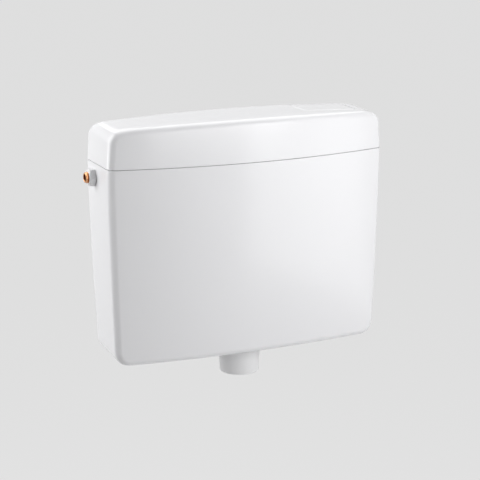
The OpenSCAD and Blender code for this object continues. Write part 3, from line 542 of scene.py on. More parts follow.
def lid_warp(s, co):
    """Place on the lid of a point of its straight block: crowned and bowed out."""
    start = s.seam + s.lid_height - s.lid_crown - s.end_round
    lift = min(1.0, max(0.0, (co.z - s.seam) / (start - s.seam)))
    outer = max(0.0, (abs(co.x) - s.half_width) / s.corner_reach + 1)
    rise = s.lid_crown * (1 - (co.x / s.half_width) ** 2) - s.corner_drop * outer * outer * forward(s, co)
    x = co.x * (1 - s.lid_draft * (co.z - s.seam) / (s.lid_height * s.half_width))
    return Vector((x, co.y - bow_out(s, co, s.front_bow), co.z + rise * lift))


def shell(half, front, back, low, high, shut, outline, edge):
    """Box shut at one height: the corners of its outline are rounded, then the edges round its front."""
    bm = block(half, front, back, low, high)
    gap = low + high - shut
    corners = [e for e in bm.edges if all(near(v.co.z, shut) for v in e.verts)]
    round_edges(bm, [e for e in corners if near(e.verts[0].co.x, e.verts[1].co.x)], outline, 12)
    fronts = [e for e in bm.edges if all(near(v.co.y, front) for v in e.verts)]
    round_edges(bm, [e for e in fronts if not all(near(v.co.z, gap) for v in e.verts)], edge, 8)
    bmesh.ops.delete(bm, geom=[f for f in bm.faces if near(f.calc_center_median().z, gap)], context="FACES")
    return bm


def lid_shell(s, inset, low, high):
    """Lid-shaped shell, drawn in all round, whose top falls away in a quarter ellipse at the back."""
    half, front, back = s.half_width - inset, inset - s.end_depth, -inset
    bm = shell(half, front, back, low, high, high, s.end_round - inset, s.edge_radius - inset)
    top = [f for f in bm.faces if near(f.calc_center_median().z, high)]
    bmesh.ops.inset_region(bm, faces=top, thickness=s.panel_slope, depth=s.panel_rise)
    reach, fall = s.back_round - inset, s.top_round - inset
    cut(bm, 1, *(back - reach * (1 - math.sin(math.radians(90 * i / 8))) for i in range(9)))
    levels = [low + (high - low) * share for share in (0.1, 0.25, 0.4, 0.55, 0.7)]
    cut(bm, 2, *levels)
    start = levels[2]
    for v in bm.verts:
        near_back = min(1.0, max(0.0, (v.co.y - back + reach) / reach))
        near_top = max(0.0, (v.co.z - start) / (high - start))
        v.co.z -= fall * (1 - math.sqrt(1 - near_back * near_back)) * near_top
    return bm


def merge(bm, other):
    """Add one bmesh to another and free it."""
    mesh = bpy.data.meshes.new("part")
    other.to_mesh(mesh)
    other.free()
    bm.from_mesh(mesh)
    bpy.data.meshes.remove(mesh)


# Operators


class CISTERN_OT_tank(bpy.types.Operator):
    """Mould the bowed, tapered tank with its lip, shelves, bosses and outlet well"""

    bl_idname = "cistern.tank"
    bl_label = "Tank"

    def execute(self, context):
        s = context.scene.cistern_sizes
        half, front, low = s.half_width, -s.end_depth, s.seam - s.tank_height
        rim = s.seam - s.seam_gap / 2
        bm = shell(half, front, 0, low, rim, low, s.lower_radius, s.edge_radius)
        loop, inset, middle = boundary(bm), 0.0, -s.end_depth / 2
        lip_out, floor, turn = s.lid_wall + 0.9 * MM, low + s.wall, 8 * MM
        lip_in, lip_top = lip_out + 2 * MM, s.seam + 6 * MM
        steps = [(lip_out, rim), (lip_out, lip_top), (lip_in, lip_top), (lip_in, s.seam - 6 * MM)]
        steps += [(s.wall, s.seam - 11 * MM), (s.wall, floor + turn)]
        steps += arc(s.wall + turn, floor + turn, turn, 198, 270, 4)
        for wanted, z in steps:
            wide = (half - wanted) / (half - inset)
            deep = (s.end_depth - 2 * wanted) / (s.end_depth - 2 * inset)
            loop = pull(
                bm, loop, lambda p, w=wide, d=deep, z=z: Vector((p.x * w, middle + (p.y - middle) * d, z))
            )
            inset = wanted
        cap(bm, loop)
        cut(bm, 0, *STRIPS)
        cut(bm, 2, *(rim - i * 15 * MM for i in range(1, 19)))
        for v in bm.verts:
            v.co = tank_warp(s, v.co)
        self.open_outlet_well(s, bm, low)
        for side in (-1, 1):
            self.open_fixing(s, bm, side * s.fixing)
        bmesh.ops.recalc_face_normals(bm, faces=bm.faces[:])
        self.add_seats(s, bm)
        piece(context, bm, "tank_shell", "tank", "white_abs", "tank")
        return {"FINISHED"}

    @staticmethod
    def open_outlet_well(s, bm, low):
        """Sink the round well for the outlet's locknut into the underside."""
        corner = Vector((44 * MM, 44 * MM, 1 * MM))
        for z, radius, up, facing in ((low, 35.9, 13, -Z), (low + s.wall, 39.9, 17, Z)):
            centre = Vector((0, -s.outlet_back, z))
            loop = window(bm, centre - corner, centre + corner, facing, ring_loop(centre, Z, radius * MM))
            loop = pull(bm, loop, lambda p, top=low + up * MM: Vector((p.x, p.y, top)))
            cap(bm, loop)

    @staticmethod
    def open_fixing(s, bm, x):
        """Bore a wall-fixing hole through its boss inside the back."""
        corner, hole, boss, tip = Vector((14 * MM, 1 * MM, 14 * MM)), 4.25 * MM, 11.25 * MM, -9 * MM
        outer_at, inner_at = Vector((x, 0, 0)), Vector((x, -s.wall, 0))
        outer = window(bm, outer_at - corner, outer_at + corner, Y, ring_loop(outer_at, Y, hole, 32))
        loop = window(bm, inner_at - corner, inner_at + corner, -Y, ring_loop(inner_at, Y, boss, 32))
        loop = pull(bm, loop, lambda p: Vector((p.x, tip, p.z)))
        shrink = hole / boss
        loop = pull(bm, loop, lambda p: Vector((x + (p.x - x) * shrink, p.y, p.z * shrink)))
        bmesh.ops.bridge_loops(bm, edges=outer + loop)

    @staticmethod
    def add_seats(s, bm):
        """Shelves and pegs for the lever's bridge, and the flat pads inside the ends."""
        bridge_low, bridge_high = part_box("lever_bridge")
        left, right, under, top = 79 * MM, 97 * MM, 10 * MM, 20 * MM
        for y0, y1 in ((bridge_low.y - 2 * MM, bridge_low.y + 12 * MM), (bridge_high.y - 12 * MM, -2 * MM)):
            add_box(bm, (left, y0, under), (right, y1, top), 1 * MM)
        peg = mm((0, 0), (2.5, 0), (2.5, 4), (0, 4.5))
        for y in (bridge_low.y + 4 * MM, bridge_high.y - 4 * MM):
            turned(bm, peg, along(Z, ((left + right) / 2, y, top)), 24, False)
        centre = centre_of(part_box("inlet_gasket"))
        for side in (-1, 1):
            pad = along((-side, 0, 0), (side * (s.half_width - 3 * MM), centre.y, centre.z))
            rod(bm, 12.8 * MM, 0, 3 * MM, pad, 48)


class CISTERN_OT_lid(bpy.types.Operator):
    """Mould the crowned lid with its well for the push plate and its rest ribs"""

    bl_idname = "cistern.lid"
    bl_label = "Lid"

    def execute(self, context):
        s = context.scene.cistern_sizes
        low, high = s.seam + s.seam_gap / 2, s.seam + s.lid_height - s.lid_crown - s.panel_rise
        bm = lid_shell(s, 0, low, high)
        inner = lid_shell(s, s.lid_wall, low, high - s.lid_wall)
        bmesh.ops.reverse_faces(inner, faces=inner.faces[:])
        merge(bm, inner)
        bmesh.ops.bridge_loops(bm, edges=boundary(bm))
        cut(bm, 0, *STRIPS)
        for v in bm.verts:
            v.co = lid_warp(s, v.co)
        self.open_plate_well(s, bm)
        bmesh.ops.recalc_face_normals(bm, faces=bm.faces[:])
        self.add_ribs(s, bm)
        piece(context, bm, "lid_shell", "lid", "white_abs", "lid")
        return {"FINISHED"}

    @staticmethod
    def open_plate_well(s, bm):
        """Sink the plate's well through the top, with a slot in its floor for the finger."""
        y0, y1 = -s.plate_back - s.plate_depth / 2, -s.plate_back + s.plate_depth / 2
        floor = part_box("plate_spring")[0].z - 0.3 * MM
        slot_x0, slot_x1 = s.finger - 8 * MM, s.finger + 12 * MM
        slot_y0, slot_y1 = -s.outlet_back - 7.6 * MM, -s.outlet_back + 7.6 * MM
        margin, slots = 3 * MM, []
        for grow, sink, facing, z in ((0, 0, Z, floor), (s.well_wall, s.lid_wall, -Z, floor - s.well_wall)):
            g = s.plate_gap + grow
            ax, bx, ay, by = s.plate_left - g, s.plate_right + g, y0 - g, y1 + g
            make = plate_loop(ax, bx, ay, by, s.plate_corner + g, lambda x, d=sink: top_of_lid(s, x) - d)
            corner_low = Vector((ax - margin, ay - margin, s.seam + 40 * MM))
            corner_high = Vector((bx + margin, by + margin, s.seam + 80 * MM))
            loop = window(bm, corner_low, corner_high, facing, make)
            loop = pull(bm, loop, lambda p, z=z: Vector((p.x, p.y, z)))
            slot = plate_loop(slot_x0, slot_x1, slot_y0, slot_y1, 1 * MM, lambda x, z=z: z)(bm)
            bmesh.ops.triangle_fill(bm, use_beauty=True, edges=loop + slot, normal=facing)
            slots += slot
        bmesh.ops.bridge_loops(bm, edges=slots)

    @staticmethod
    def add_ribs(s, bm):
        """Rest ribs that stand on the tank's lip."""
        z0, tall, half, deep = s.seam + 6.3 * MM, 24 * MM, 1.5 * MM, 11 * MM
        for x in (-150 * MM, 150 * MM):
            front = -s.end_depth - s.front_bow * (1 - (x / s.half_width) ** 2) + s.lid_wall / 2
            for y0, y1 in ((front, front + deep), (-deep, -s.lid_wall / 2)):
                add_box(bm, (x - half, y0, z0), (x + half, y1, z0 + tall), 0.5 * MM)


class CISTERN_OT_push_plate(bpy.types.Operator):
    """Mould the push plate with its skirt, hinge lugs, spring seat and finger"""

    bl_idname = "cistern.push_plate"
    bl_label = "Push plate"

    def execute(self, context):
        s = context.scene.cistern_sizes
        y0, y1 = -s.plate_back - s.plate_depth / 2, -s.plate_back + s.plate_depth / 2
        deep, wall = 3 * MM, 3 * MM
        skirt = top_of_lid(s, s.plate_right) - 6 * MM
        bm = bmesh.new()
        top = plate_loop(s.plate_left, s.plate_right, y0, y1, s.plate_corner, lambda x: top_of_lid(s, x))(bm)
        cap(bm, top)
        loop = pull(bm, top, lambda p: Vector((p.x, p.y, skirt)))
        cx, cy = (s.plate_left + s.plate_right) / 2, (y0 + y1) / 2
        wide = 1 - 2 * wall / (s.plate_right - s.plate_left)
        far = 1 - 2 * wall / (y1 - y0)
        loop = pull(bm, loop, lambda p: Vector((cx + (p.x - cx) * wide, cy + (p.y - cy) * far, skirt)))
        loop = pull(bm, loop, lambda p: Vector((p.x, p.y, top_of_lid(s, p.x) - deep)))
        cap(bm, loop)
        bmesh.ops.recalc_face_normals(bm, faces=bm.faces[:])
        high = [e for e in bm.edges if all(v.co.z > skirt + 1 * MM for v in e.verts)]
        round_edges(bm, [e for e in high if e.calc_face_angle(0) > 1], 1 * MM, 4)
        self.add_underside(s, bm)
        piece(context, bm, "push_plate", "flush_plate", "white_abs", "flush_plate")
        return {"FINISHED"}

    @staticmethod
    def add_underside(s, bm):
        """Lugs round the hinge pin, the finger over the lever and the spring's seat."""
        pin, sunk, edge = centre_of(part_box("plate_pin")), 2 * MM, 0.4 * MM
        half, arm, eye = 4 * MM, 3.4 * MM, mm((1.55, -4), (3.55, -4), (3.55, 4), (1.55, 4))
        for side in (-1, 1):
            y = -s.plate_back + side * (s.plate_depth / 2 - 7 * MM)
            turned(bm, eye, along(Y, (pin.x, y, pin.z)), 32)
            top = top_of_lid(s, pin.x) - sunk
            add_box(bm, (pin.x - arm, y - half, pin.z + 2 * MM), (pin.x + arm, y + half, top), edge)
        x, y, wide, thick = s.finger, -s.outlet_back, 7 * MM, 4 * MM
        nose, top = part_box("flush_plate")[0].z + thick, top_of_lid(s, s.finger) - sunk
        rod(bm, thick, -wide, wide, along(Y, (x, y, nose)))
        add_box(bm, (x - thick, y - wide, nose), (x + thick, y + wide, top), edge)
        seat = centre_of(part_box("plate_spring"))
        stud = mm((0, 0), (3, 0), (3.4, 0.6), (3.4, 4), (0, 4))
        turned(bm, stud, along(Z, (seat.x, seat.y, top_of_lid(s, seat.x) - 6 * MM)), 32, False)


class CISTERN_OT_plate_spring(bpy.types.Operator):
    """Wind the spring under the push plate"""

    bl_idname = "cistern.plate_spring"
    bl_label = "Plate spring"

    def execute(self, context):
        low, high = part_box("plate_spring")
        wire, radius, turns, steps = 0.5 * MM, 4.5 * MM, 6, 28
        centre = Vector(((low.x + high.x) / 2, -context.scene.cistern_sizes.plate_back, 0))
        rise = high.z - low.z - 2 * wire
        bm = bmesh.new()
        start = along(Y, (centre.x + radius, centre.y, low.z + wire))
        bmesh.ops.create_circle(bm, cap_ends=True, segments=10, radius=wire, matrix=start)
        bmesh.ops.spin(
            bm,
            geom=whole(bm),
            cent=centre,
            axis=Z,
            dvec=(0, 0, rise / (turns * steps)),
            angle=2 * math.pi * turns,
            steps=turns * steps,
        )
        bmesh.ops.remove_doubles(bm, verts=bm.verts[:], dist=1e-7)
        bmesh.ops.recalc_face_normals(bm, faces=bm.faces[:])
        spring = piece(context, bm, "spring_coil", "lid", "steel", "plate_spring", crisp=60)
        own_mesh(spring)
        return {"FINISHED"}


class CISTERN_OT_inlet(bpy.types.Operator):
    """Turn the threaded brass inlet tail and mould the hexagon nuts of inlet and plug"""

    bl_idname = "cistern.inlet"
    bl_label = "Inlet"

    def execute(self, context):
        s = context.scene.cistern_sizes
        low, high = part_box("inlet_stub")
        y, z = (low.y + high.y) / 2, (low.z + high.z) / 2
        outwards = along((-1, 0, 0), (-s.half_width, y, z))
        end = -s.half_width - low.x
        bore, root, crest = 5.5 * MM, 7.45 * MM, 8.3 * MM
        bm = bmesh.new()
        profile = [(bore, -24 * MM), *mm((7, -24), (7, -11), (11.8, -11), (11.8, -8)), (root, -8 * MM)]
        profile += [(root, end - 0.4 * MM), (root - 0.4 * MM, end)]
        profile += [(bore + 0.5 * MM, end), (bore, end - 0.5 * MM)]
        turned(bm, profile, outwards)
        self.add_thread(bm, root, crest, s.thread_pitch, -6 * MM, end - 0.6 * MM, outwards)
        piece(context, bm, "inlet_tail", "tank", "brass", "inlet_stub", crisp=25)
        for name, node in (("inlet_hex_nut", "inlet_nut"), ("plug_hex_nut", "plug_nut")):
            nut_low, nut_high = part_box(node)
            thick = nut_high.x - nut_low.x
            bm = self.hex_nut(thick, along((-1, 0, 0), (nut_high.x, y, z)))
            piece(context, bm, name, "tank", "nut_white", node, soften=0.4 * MM)
        return {"FINISHED"}

    @staticmethod
    def add_thread(bm, root, crest, pitch, start, end, place):
        """Wind a V-shaped ridge along the tail."""
        old = set(bm.verts)
        steps, turns = 40, (end - start) / pitch - 1
        flank = pitch * 0.42
        foot = root - 0.1 * MM
        ridge = [(foot, start), (crest, start + flank), (foot, start + 2 * flank)]
        end_face = bm.faces.new([bm.verts.new((r, 0, h)) for r, h in ridge])
        bmesh.ops.spin(
            bm,
            geom=[*end_face.verts, *end_face.edges, end_face],
            cent=(0, 0, 0),
            axis=Z,
            dvec=(0, 0, pitch / steps),
            angle=2 * math.pi * turns,
            steps=round(steps * turns),
        )
        settle(bm, old, place)

    @staticmethod
    def hex_nut(thick, place):
        """Hexagon nut, chamfered at its far face: turned first, then its flats are cut."""
        bm = bmesh.new()
        flat, corner, face, hole = 12 * MM, 13.86 * MM, 10.9 * MM, 8.4 * MM
        profile = [(hole, 0), (corner, 0), (corner, thick - 3 * MM), (face, thick), (hole, thick)]
        turned(bm, profile, Matrix.Identity(4), 96)
        for i in range(6):
            normal = Matrix.Rotation(math.radians(60 * i + 30), 3, "Z") @ X
            bmesh.ops.bisect_plane(
                bm,
                geom=whole(bm),
                dist=1e-7,
                plane_co=normal * flat,
                plane_no=normal,
                clear_outer=True,
            )
            bmesh.ops.edgeloop_fill(bm, edges=boundary(bm))
        bmesh.ops.recalc_face_normals(bm, faces=bm.faces[:])
        bmesh.ops.transform(bm, matrix=place, verts=bm.verts[:])
        return bm


class CISTERN_OT_pipe_nut(bpy.types.Operator):
    """Mould the round nut that grips the flush pipe"""

    bl_idname = "cistern.pipe_nut"
    bl_label = "Flush-pipe nut"

    def execute(self, context):
        low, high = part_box("flush_pipe_nut")
        y = (low.y + high.y) / 2
        tall = high.z - low.z
        profile = [(24 * MM, tall), *mm((24, 10), (20.3, 8), (20.3, 0.6), (20.9, 0))]
        profile += [*arc(29 * MM, 1.2 * MM, 1.2 * MM, -90, 0), (32.2 * MM, tall)]
        bm = bmesh.new()
        turned(bm, profile, along(Z, (0, y, low.z)), 96)
        piece(context, bm, "flush_pipe_collar", "tank", "nut_white", "flush_pipe_nut")
        return {"FINISHED"}


class CISTERN_OT_lever_gear(bpy.types.Operator):
    """Mould the ribbed lift lever, the bridge that carries it and the bail it lifts"""

    bl_idname = "cistern.lever_gear"
    bl_label = "Lever, bridge and bail"

    def execute(self, context):
        pin = centre_of(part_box("lever_pin"))
        self.mould_lever(context, pin)
        self.mould_bridge(context, pin)
        self.mould_bail(context, pin)
        return {"FINISHED"}

    @staticmethod
    def mould_lever(context, pin):
        """I-section lever: two flanges on a thin web, with stiffening ribs and a hub."""
        low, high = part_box("lift_lever")
        a, b, hub, web, flange = low.x, high.x, 8 * MM, 1.5 * MM, 2 * MM
        knee, pad, rise, fall = pin.x + 20 * MM, 7 * MM, 4 * MM, -4 * MM
        left, right, neck = pin.x - hub + 1 * MM, pin.x + hub - 1 * MM, 5.6 * MM
        lift = Matrix.Translation((0, 0, pin.z))
        bm = bmesh.new()
        for top, under in (
            ([(a, rise), (left, rise)], [(a, fall), (left, fall)]),
            ([(right, neck), (knee, pad), (b, pad)], [(right, fall), (b - 8 * MM, fall), (b, 0)]),
        ):
            prism(bm, top + under[::-1], pin.y - web, pin.y + web, 0, lift)
            for line, way in ((top, -flange), (under, flange)):
                inner = [(x, z + way) for x, z in line[::-1]]
                prism(bm, line + inner, low.y, high.y, 0.5 * MM, lift)
        thin = 1 * MM
        for rib in (4, 22, 40, 58, 106, 122, 136):
            x, top = rib * MM, rise if rib < 80 else pad - thin
            corner = (x + thin, high.y - thin, top - thin)
            add_box(bm, (x - thin, low.y + thin, fall + thin), corner, 0, lift)
        ring(bm, 2.55 * MM, hub, low.y - pin.y, high.y - pin.y, along(Y, pin))
        piece(context, bm, "ribbed_lever", "lift_lever", "ivory_plastic", "lift_lever")

    @staticmethod
    def mould_bridge(context, pin):
        """Bar across the tank with two eared plates, edge ribs and gussets."""
        low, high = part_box("lever_bridge")
        hub, ear, stem = 8.05 * MM, 4 * MM, 3 * MM
        bar = low.z + 4 * MM
        foot = bar - 1 * MM
        bm = bmesh.new()
        add_box(bm, low, (high.x, high.y, bar), 0.8 * MM)
        for x in (low.x, high.x - 2 * MM):
            add_box(bm, (x, low.y, foot), (x + 2 * MM, high.y, bar + 3 * MM), 0.5 * MM)
        for side in (-1, 1):
            y = pin.y + side * (6.5 * MM + ear / 2)
            ring(bm, 2.55 * MM, hub, -ear / 2, ear / 2, along(Y, (pin.x, y, pin.z)))
            for x in (-1, 1):
                leg = [(x * hub, foot), (x * hub, pin.z), (x * stem, pin.z - 5 * MM), (x * stem, foot)]
                prism(bm, leg, y - ear / 2, y + ear / 2, 0.4 * MM, Matrix.Translation((pin.x, 0, 0)))
            web = (pin.x + 4 * MM, y + 1 * MM, pin.z - 4 * MM)
            add_box(bm, (pin.x - 4 * MM, y - 1 * MM, foot), web, 0)
            out = Matrix.Translation((pin.x, y + side * ear / 2, 0))
            gusset = [(0, foot), (side * 10 * MM, foot), (0, bar + 20 * MM)]
            quarter = Matrix.Rotation(math.radians(90), 4, "Z")
            prism(bm, gusset, -1 * MM, 1 * MM, 0.3 * MM, out @ quarter)
        piece(context, bm, "lever_carrier", "tank", "grey_plastic", "lever_bridge")

    @staticmethod
    def mould_bail(context, pin):
        """Split collar on the overflow tube with two legs and a round bar over the lever."""
        low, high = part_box("lift_bail")
        bore, outer, tall = 14.05 * MM, 18.05 * MM, 14 * MM
        bm = bmesh.new()
        ring(bm, bore, outer, 0, tall, along(Z, (0, pin.y, low.z)))
        ring(bm, bore, outer + 0.8 * MM, tall * 0.4, tall * 0.6, along(Z, (0, pin.y, low.z)))
        for side in (-1, 1):
            y = pin.y + side * outer
            for wide, deep, sunk, short, edge in mm((3, 2.5, 1, 0, 1), (1, 3.2, 3, 8, 0.3)):
                add_box(bm, (-wide, y - deep, low.z + sunk), (wide, y + deep, high.z - short), edge)
        rod(bm, 3 * MM, -outer, outer, along(Y, (0, pin.y, high.z - 3 * MM)))
        piece(context, bm, "valve_bail", "flush_valve", "blue_plastic", "lift_bail")


class CISTERN_OT_flush_valve(bpy.types.Operator):
    """Mould the overflow tube, its ring float and the cage that guides it"""

    bl_idname = "cistern.flush_valve"
    bl_label = "Flush valve"

    def execute(self, context):
        y = -context.scene.cistern_sizes.outlet_back
        low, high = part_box("overflow_tube")
        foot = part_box("valve_seal")[1].z
        wide, top = high.x, high.z
        lip, bore, tube = 16.9 * MM, 12 * MM, 14 * MM
        thick, edge = 3 * MM, 0.6 * MM
        bm = bmesh.new()
        profile = [(bore, low.z), (lip, low.z), (lip, low.z + thick), (tube, low.z + thick)]
        profile += [(tube, foot), (wide, foot), (wide, foot + thick - edge), (wide - edge, foot + thick)]
        profile += [(tube + thick, foot + thick), (tube, foot + 2 * thick)]
        profile += [(tube, top - edge), (tube - edge, top), (bore + edge, top), (bore, top - edge)]
        turned(bm, profile, along(Z, (0, y, 0)))
        piece(context, bm, "standpipe", "flush_valve", "ivory_plastic", "overflow_tube")
        low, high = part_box("valve_float")
        bm = bmesh.new()
        outer, r, hole = high.x, 4 * MM, tube + 0.05 * MM
        side, middle = outer - 0.4 * MM, (low.z + high.z) / 2
        profile = [(hole, low.z), (outer - r, low.z), *arc(side - r, low.z + r, r, -75, 0, 5)]
        profile += [(side, middle - 1 * MM), (outer, middle - 0.5 * MM)]
        profile += [(outer, middle + 0.5 * MM), (side, middle + 1 * MM)]
        profile += [*arc(side - r, high.z - r, r, 0, 90), (hole, high.z)]
        turned(bm, profile, along(Z, (0, y, 0)))
        piece(context, bm, "ring_float", "flush_valve", "blue_plastic", "valve_float")
        self.mould_cage(context, y)
        return {"FINISHED"}

    @staticmethod
    def mould_cage(context, y):
        """Two rings on four legs, with a guide held by spokes at the top."""
        low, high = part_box("valve_cage")
        outer, band, half = high.x, 6 * MM, 2.5 * MM
        inner, guide = outer - 5 * MM, 14.5 * MM
        tall = high.z - low.z
        place = along(Z, (0, y, low.z))
        bm = bmesh.new()
        ring(bm, inner, outer, 0, band, place)
        ring(bm, inner, outer, tall - band, tall, place)
        ring(bm, guide, guide + 3 * MM, tall - band, tall, place)
        for i in range(4):
            turn = place @ Matrix.Rotation(math.radians(45 + 90 * i), 4, "Z")
            leg = (outer - 0.6 * MM, half, tall - 1 * MM)
            add_box(bm, (inner + 0.6 * MM, -half, 1 * MM), leg, 0.8 * MM, turn)
            spoke = (inner + 2 * MM, 1.5 * MM, tall)
            add_box(bm, (guide + 1.5 * MM, -1.5 * MM, tall - band), spoke, 0.5 * MM, turn)
        piece(context, bm, "valve_guide", "tank", "grey_plastic", "valve_cage")


class CISTERN_OT_float_valve(bpy.types.Operator):
    """Mould the float valve with its screwed cap, arm, rod, float and silencing tube"""

    bl_idname = "cistern.float_valve"
    bl_label = "Float valve"

    def execute(self, context):
        pin, axis = centre_of(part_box("float_arm_pin")), centre_of(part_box("valve_diaphragm"))
        self.mould_body(context, axis)
        self.mould_cap(context, axis, pin)
        droop = math.radians(20)
        hang = Matrix.Translation(pin) @ Matrix.Rotation(droop, 4, "Y")
        self.mould_arm(context, hang)
        self.mould_float(context, hang)
        return {"FINISHED"}

    @staticmethod
    def mould_body(context, axis):
        """Valve body with three collars, its spout and the tube that quiets the water."""
        low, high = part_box("fill_valve_body")
        start, long = low.x, high.x - low.x
        profile = mm((0, 0), (11.4, 0), (12, 0.6), (12, 5), (10.6, 6.4), (10.6, 12), (12, 13.4))
        profile += mm((12, 33), (10.6, 34.4), (10.6, 37), (12, 38)) + [(12 * MM, long), (0, long)]
        bm = bmesh.new()
        turned(bm, profile, along(X, (start, axis.y, axis.z)), 64, False)
        spout = along(Z, (start + long / 2, axis.y, 0))
        ring(bm, 5.5 * MM, 7 * MM, low.z, axis.z, spout, 48)
        ring(bm, 6.5 * MM, 8.6 * MM, axis.z - 13.5 * MM, axis.z - 11 * MM, spout, 48)
        piece(context, bm, "float_valve_body", "tank", "ivory_plastic", "fill_valve_body")
        low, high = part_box("fill_tube")
        bm = bmesh.new()
        outer = (high.x - low.x) / 2
        ring(bm, outer - 1.5 * MM, outer, low.z, high.z, spout, 48)
        piece(context, bm, "silencing_tube", "tank", "ivory_plastic", "fill_tube")

    @staticmethod
    def mould_cap(context, axis, pin):
        """Screwed cap with grip ribs, and two ears for the arm's pin."""
        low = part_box("fill_valve_cap")[0]
        r, bore, base, eye = 14.05 * MM, 12.05 * MM, 13.2 * MM, 2.55 * MM
        face, skirt = pin.x - 12 * MM, 10 * MM
        long = face - low.x
        place = along(X, (low.x, axis.y, axis.z))
        profile = [(bore, 0), (base, 0), (base, long - 1 * MM), (base - 1 * MM, long)]
        profile += [(eye, long), (eye, skirt), (bore, skirt)]
        bm = bmesh.new()
        turned(bm, profile, place)
        for i in range(30):
            turn = place @ Matrix.Rotation(math.radians(12 * i), 4, "Z")
            add_box(bm, (base - 0.4 * MM, -0.7 * MM, 1 * MM), (r, 0.7 * MM, skirt + 2 * MM), 0.25 * MM, turn)
        for side in (-1, 1):
            y = axis.y + side * 6 * MM
            ring(bm, 2.05 * MM, 5.05 * MM, -1.5 * MM, 1.5 * MM, along(Y, (pin.x, y, pin.z)), 48)
            root, tip = face - 5 * MM, pin.x - 3 * MM
            ear = [(root, -5 * MM), (tip, -5 * MM), (tip, 5 * MM), (root, 7 * MM)]
            prism(bm, ear, y - 1.5 * MM, y + 1.5 * MM, 0.4 * MM, Matrix.Translation((0, 0, pin.z)))
        piece(context, bm, "screwed_cap", "tank", "grey_plastic", "fill_valve_cap")

    @staticmethod
    def mould_arm(context, hang):
        """Ribbed arm: a hub, a short upright that pushes the plunger and a long I-section."""
        reach, half = context.scene.cistern_sizes.arm_reach, 4 * MM
        bm = bmesh.new()
        ring(bm, 2.05 * MM, 5.05 * MM, -half, half, hang @ along(Y, (0, 0, 0)), 48)
        add_box(bm, (-2.5 * MM, -half, 3 * MM), (2.5 * MM, half, 15.4 * MM), 0.6 * MM, hang)
        add_box(bm, (3 * MM, -1 * MM, -2 * MM), (reach - 4 * MM, 1 * MM, 2 * MM), 0, hang)
        for z in (-2.5, 1.3):
            add_box(bm, (3 * MM, -half, z * MM), (reach - 3 * MM, half, (z + 1.2) * MM), 0.3 * MM, hang)
        for x in (16, 30, 44):
            rib = ((x + 1.4) * MM, half - 0.5 * MM, 2 * MM)
            add_box(bm, (x * MM, -half + 0.5 * MM, -2 * MM), rib, 0, hang)
        ring(bm, 2.55 * MM, 5.55 * MM, -5 * MM, 5 * MM, hang @ along(Z, (reach, 0, 0)), 48)
        piece(context, bm, "ribbed_arm", "float_arm", "grey_plastic", "float_arm")
        bm = bmesh.new()
        end = -context.scene.cistern_sizes.float_drop
        profile = [(0, end), (2.5 * MM, end)]
        profile += mm((2.5, 5.1), (5, 5.1), (5.5, 5.6), (5.5, 9), (4.4, 10), (0, 10))
        turned(bm, profile, hang @ along(Z, (reach, 0, 0)), 32, False)
        piece(context, bm, "adjusting_rod", "float_arm", "blue_plastic", "float_rod")

    @staticmethod
    def mould_float(context, hang):
        """Welded float: two drawn cups with rounded, dished ends and a weld bead between them."""
        s = context.scene.cistern_sizes
        low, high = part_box("float")
        half, r, edge, bead = (high.y - low.y) / 2, 24 * MM, 6 * MM, 0.4 * MM
        side = r - bead
        profile = [(0, 1.5 * MM), (side - edge - 5 * MM, 1.5 * MM), (side - edge - 2 * MM, 0)]
        profile += arc(side - edge, edge, edge, -90, 0)
        profile += [(side, half - 1.5 * MM), (r, half - 1 * MM), (r, half)]
        profile += [(p, 2 * half - h) for p, h in profile[-2::-1]]
        bm = bmesh.new()
        middle = hang.inverted() @ ((low + high) / 2)
        turned(bm, profile, hang @ along(Y, (s.arm_reach, middle.y - half, -s.float_drop)), 64, False)
        piece(context, bm, "welded_float", "float_arm", "ivory_plastic", "float")


class CISTERN_OT_finishes(bpy.types.Operator):
    """Give every node that keeps its own shape the finish of its slot"""

    bl_idname = "cistern.finishes"
    bl_label = "Finishes"

    def execute(self, context):
        for part in frame["record"]["subparts"]:
            node = frame["nodes"][part["node"]]
            node.data.materials.clear()
            node.data.materials.append(finish(context, part["material_slot"]))
        return {"FINISHED"}


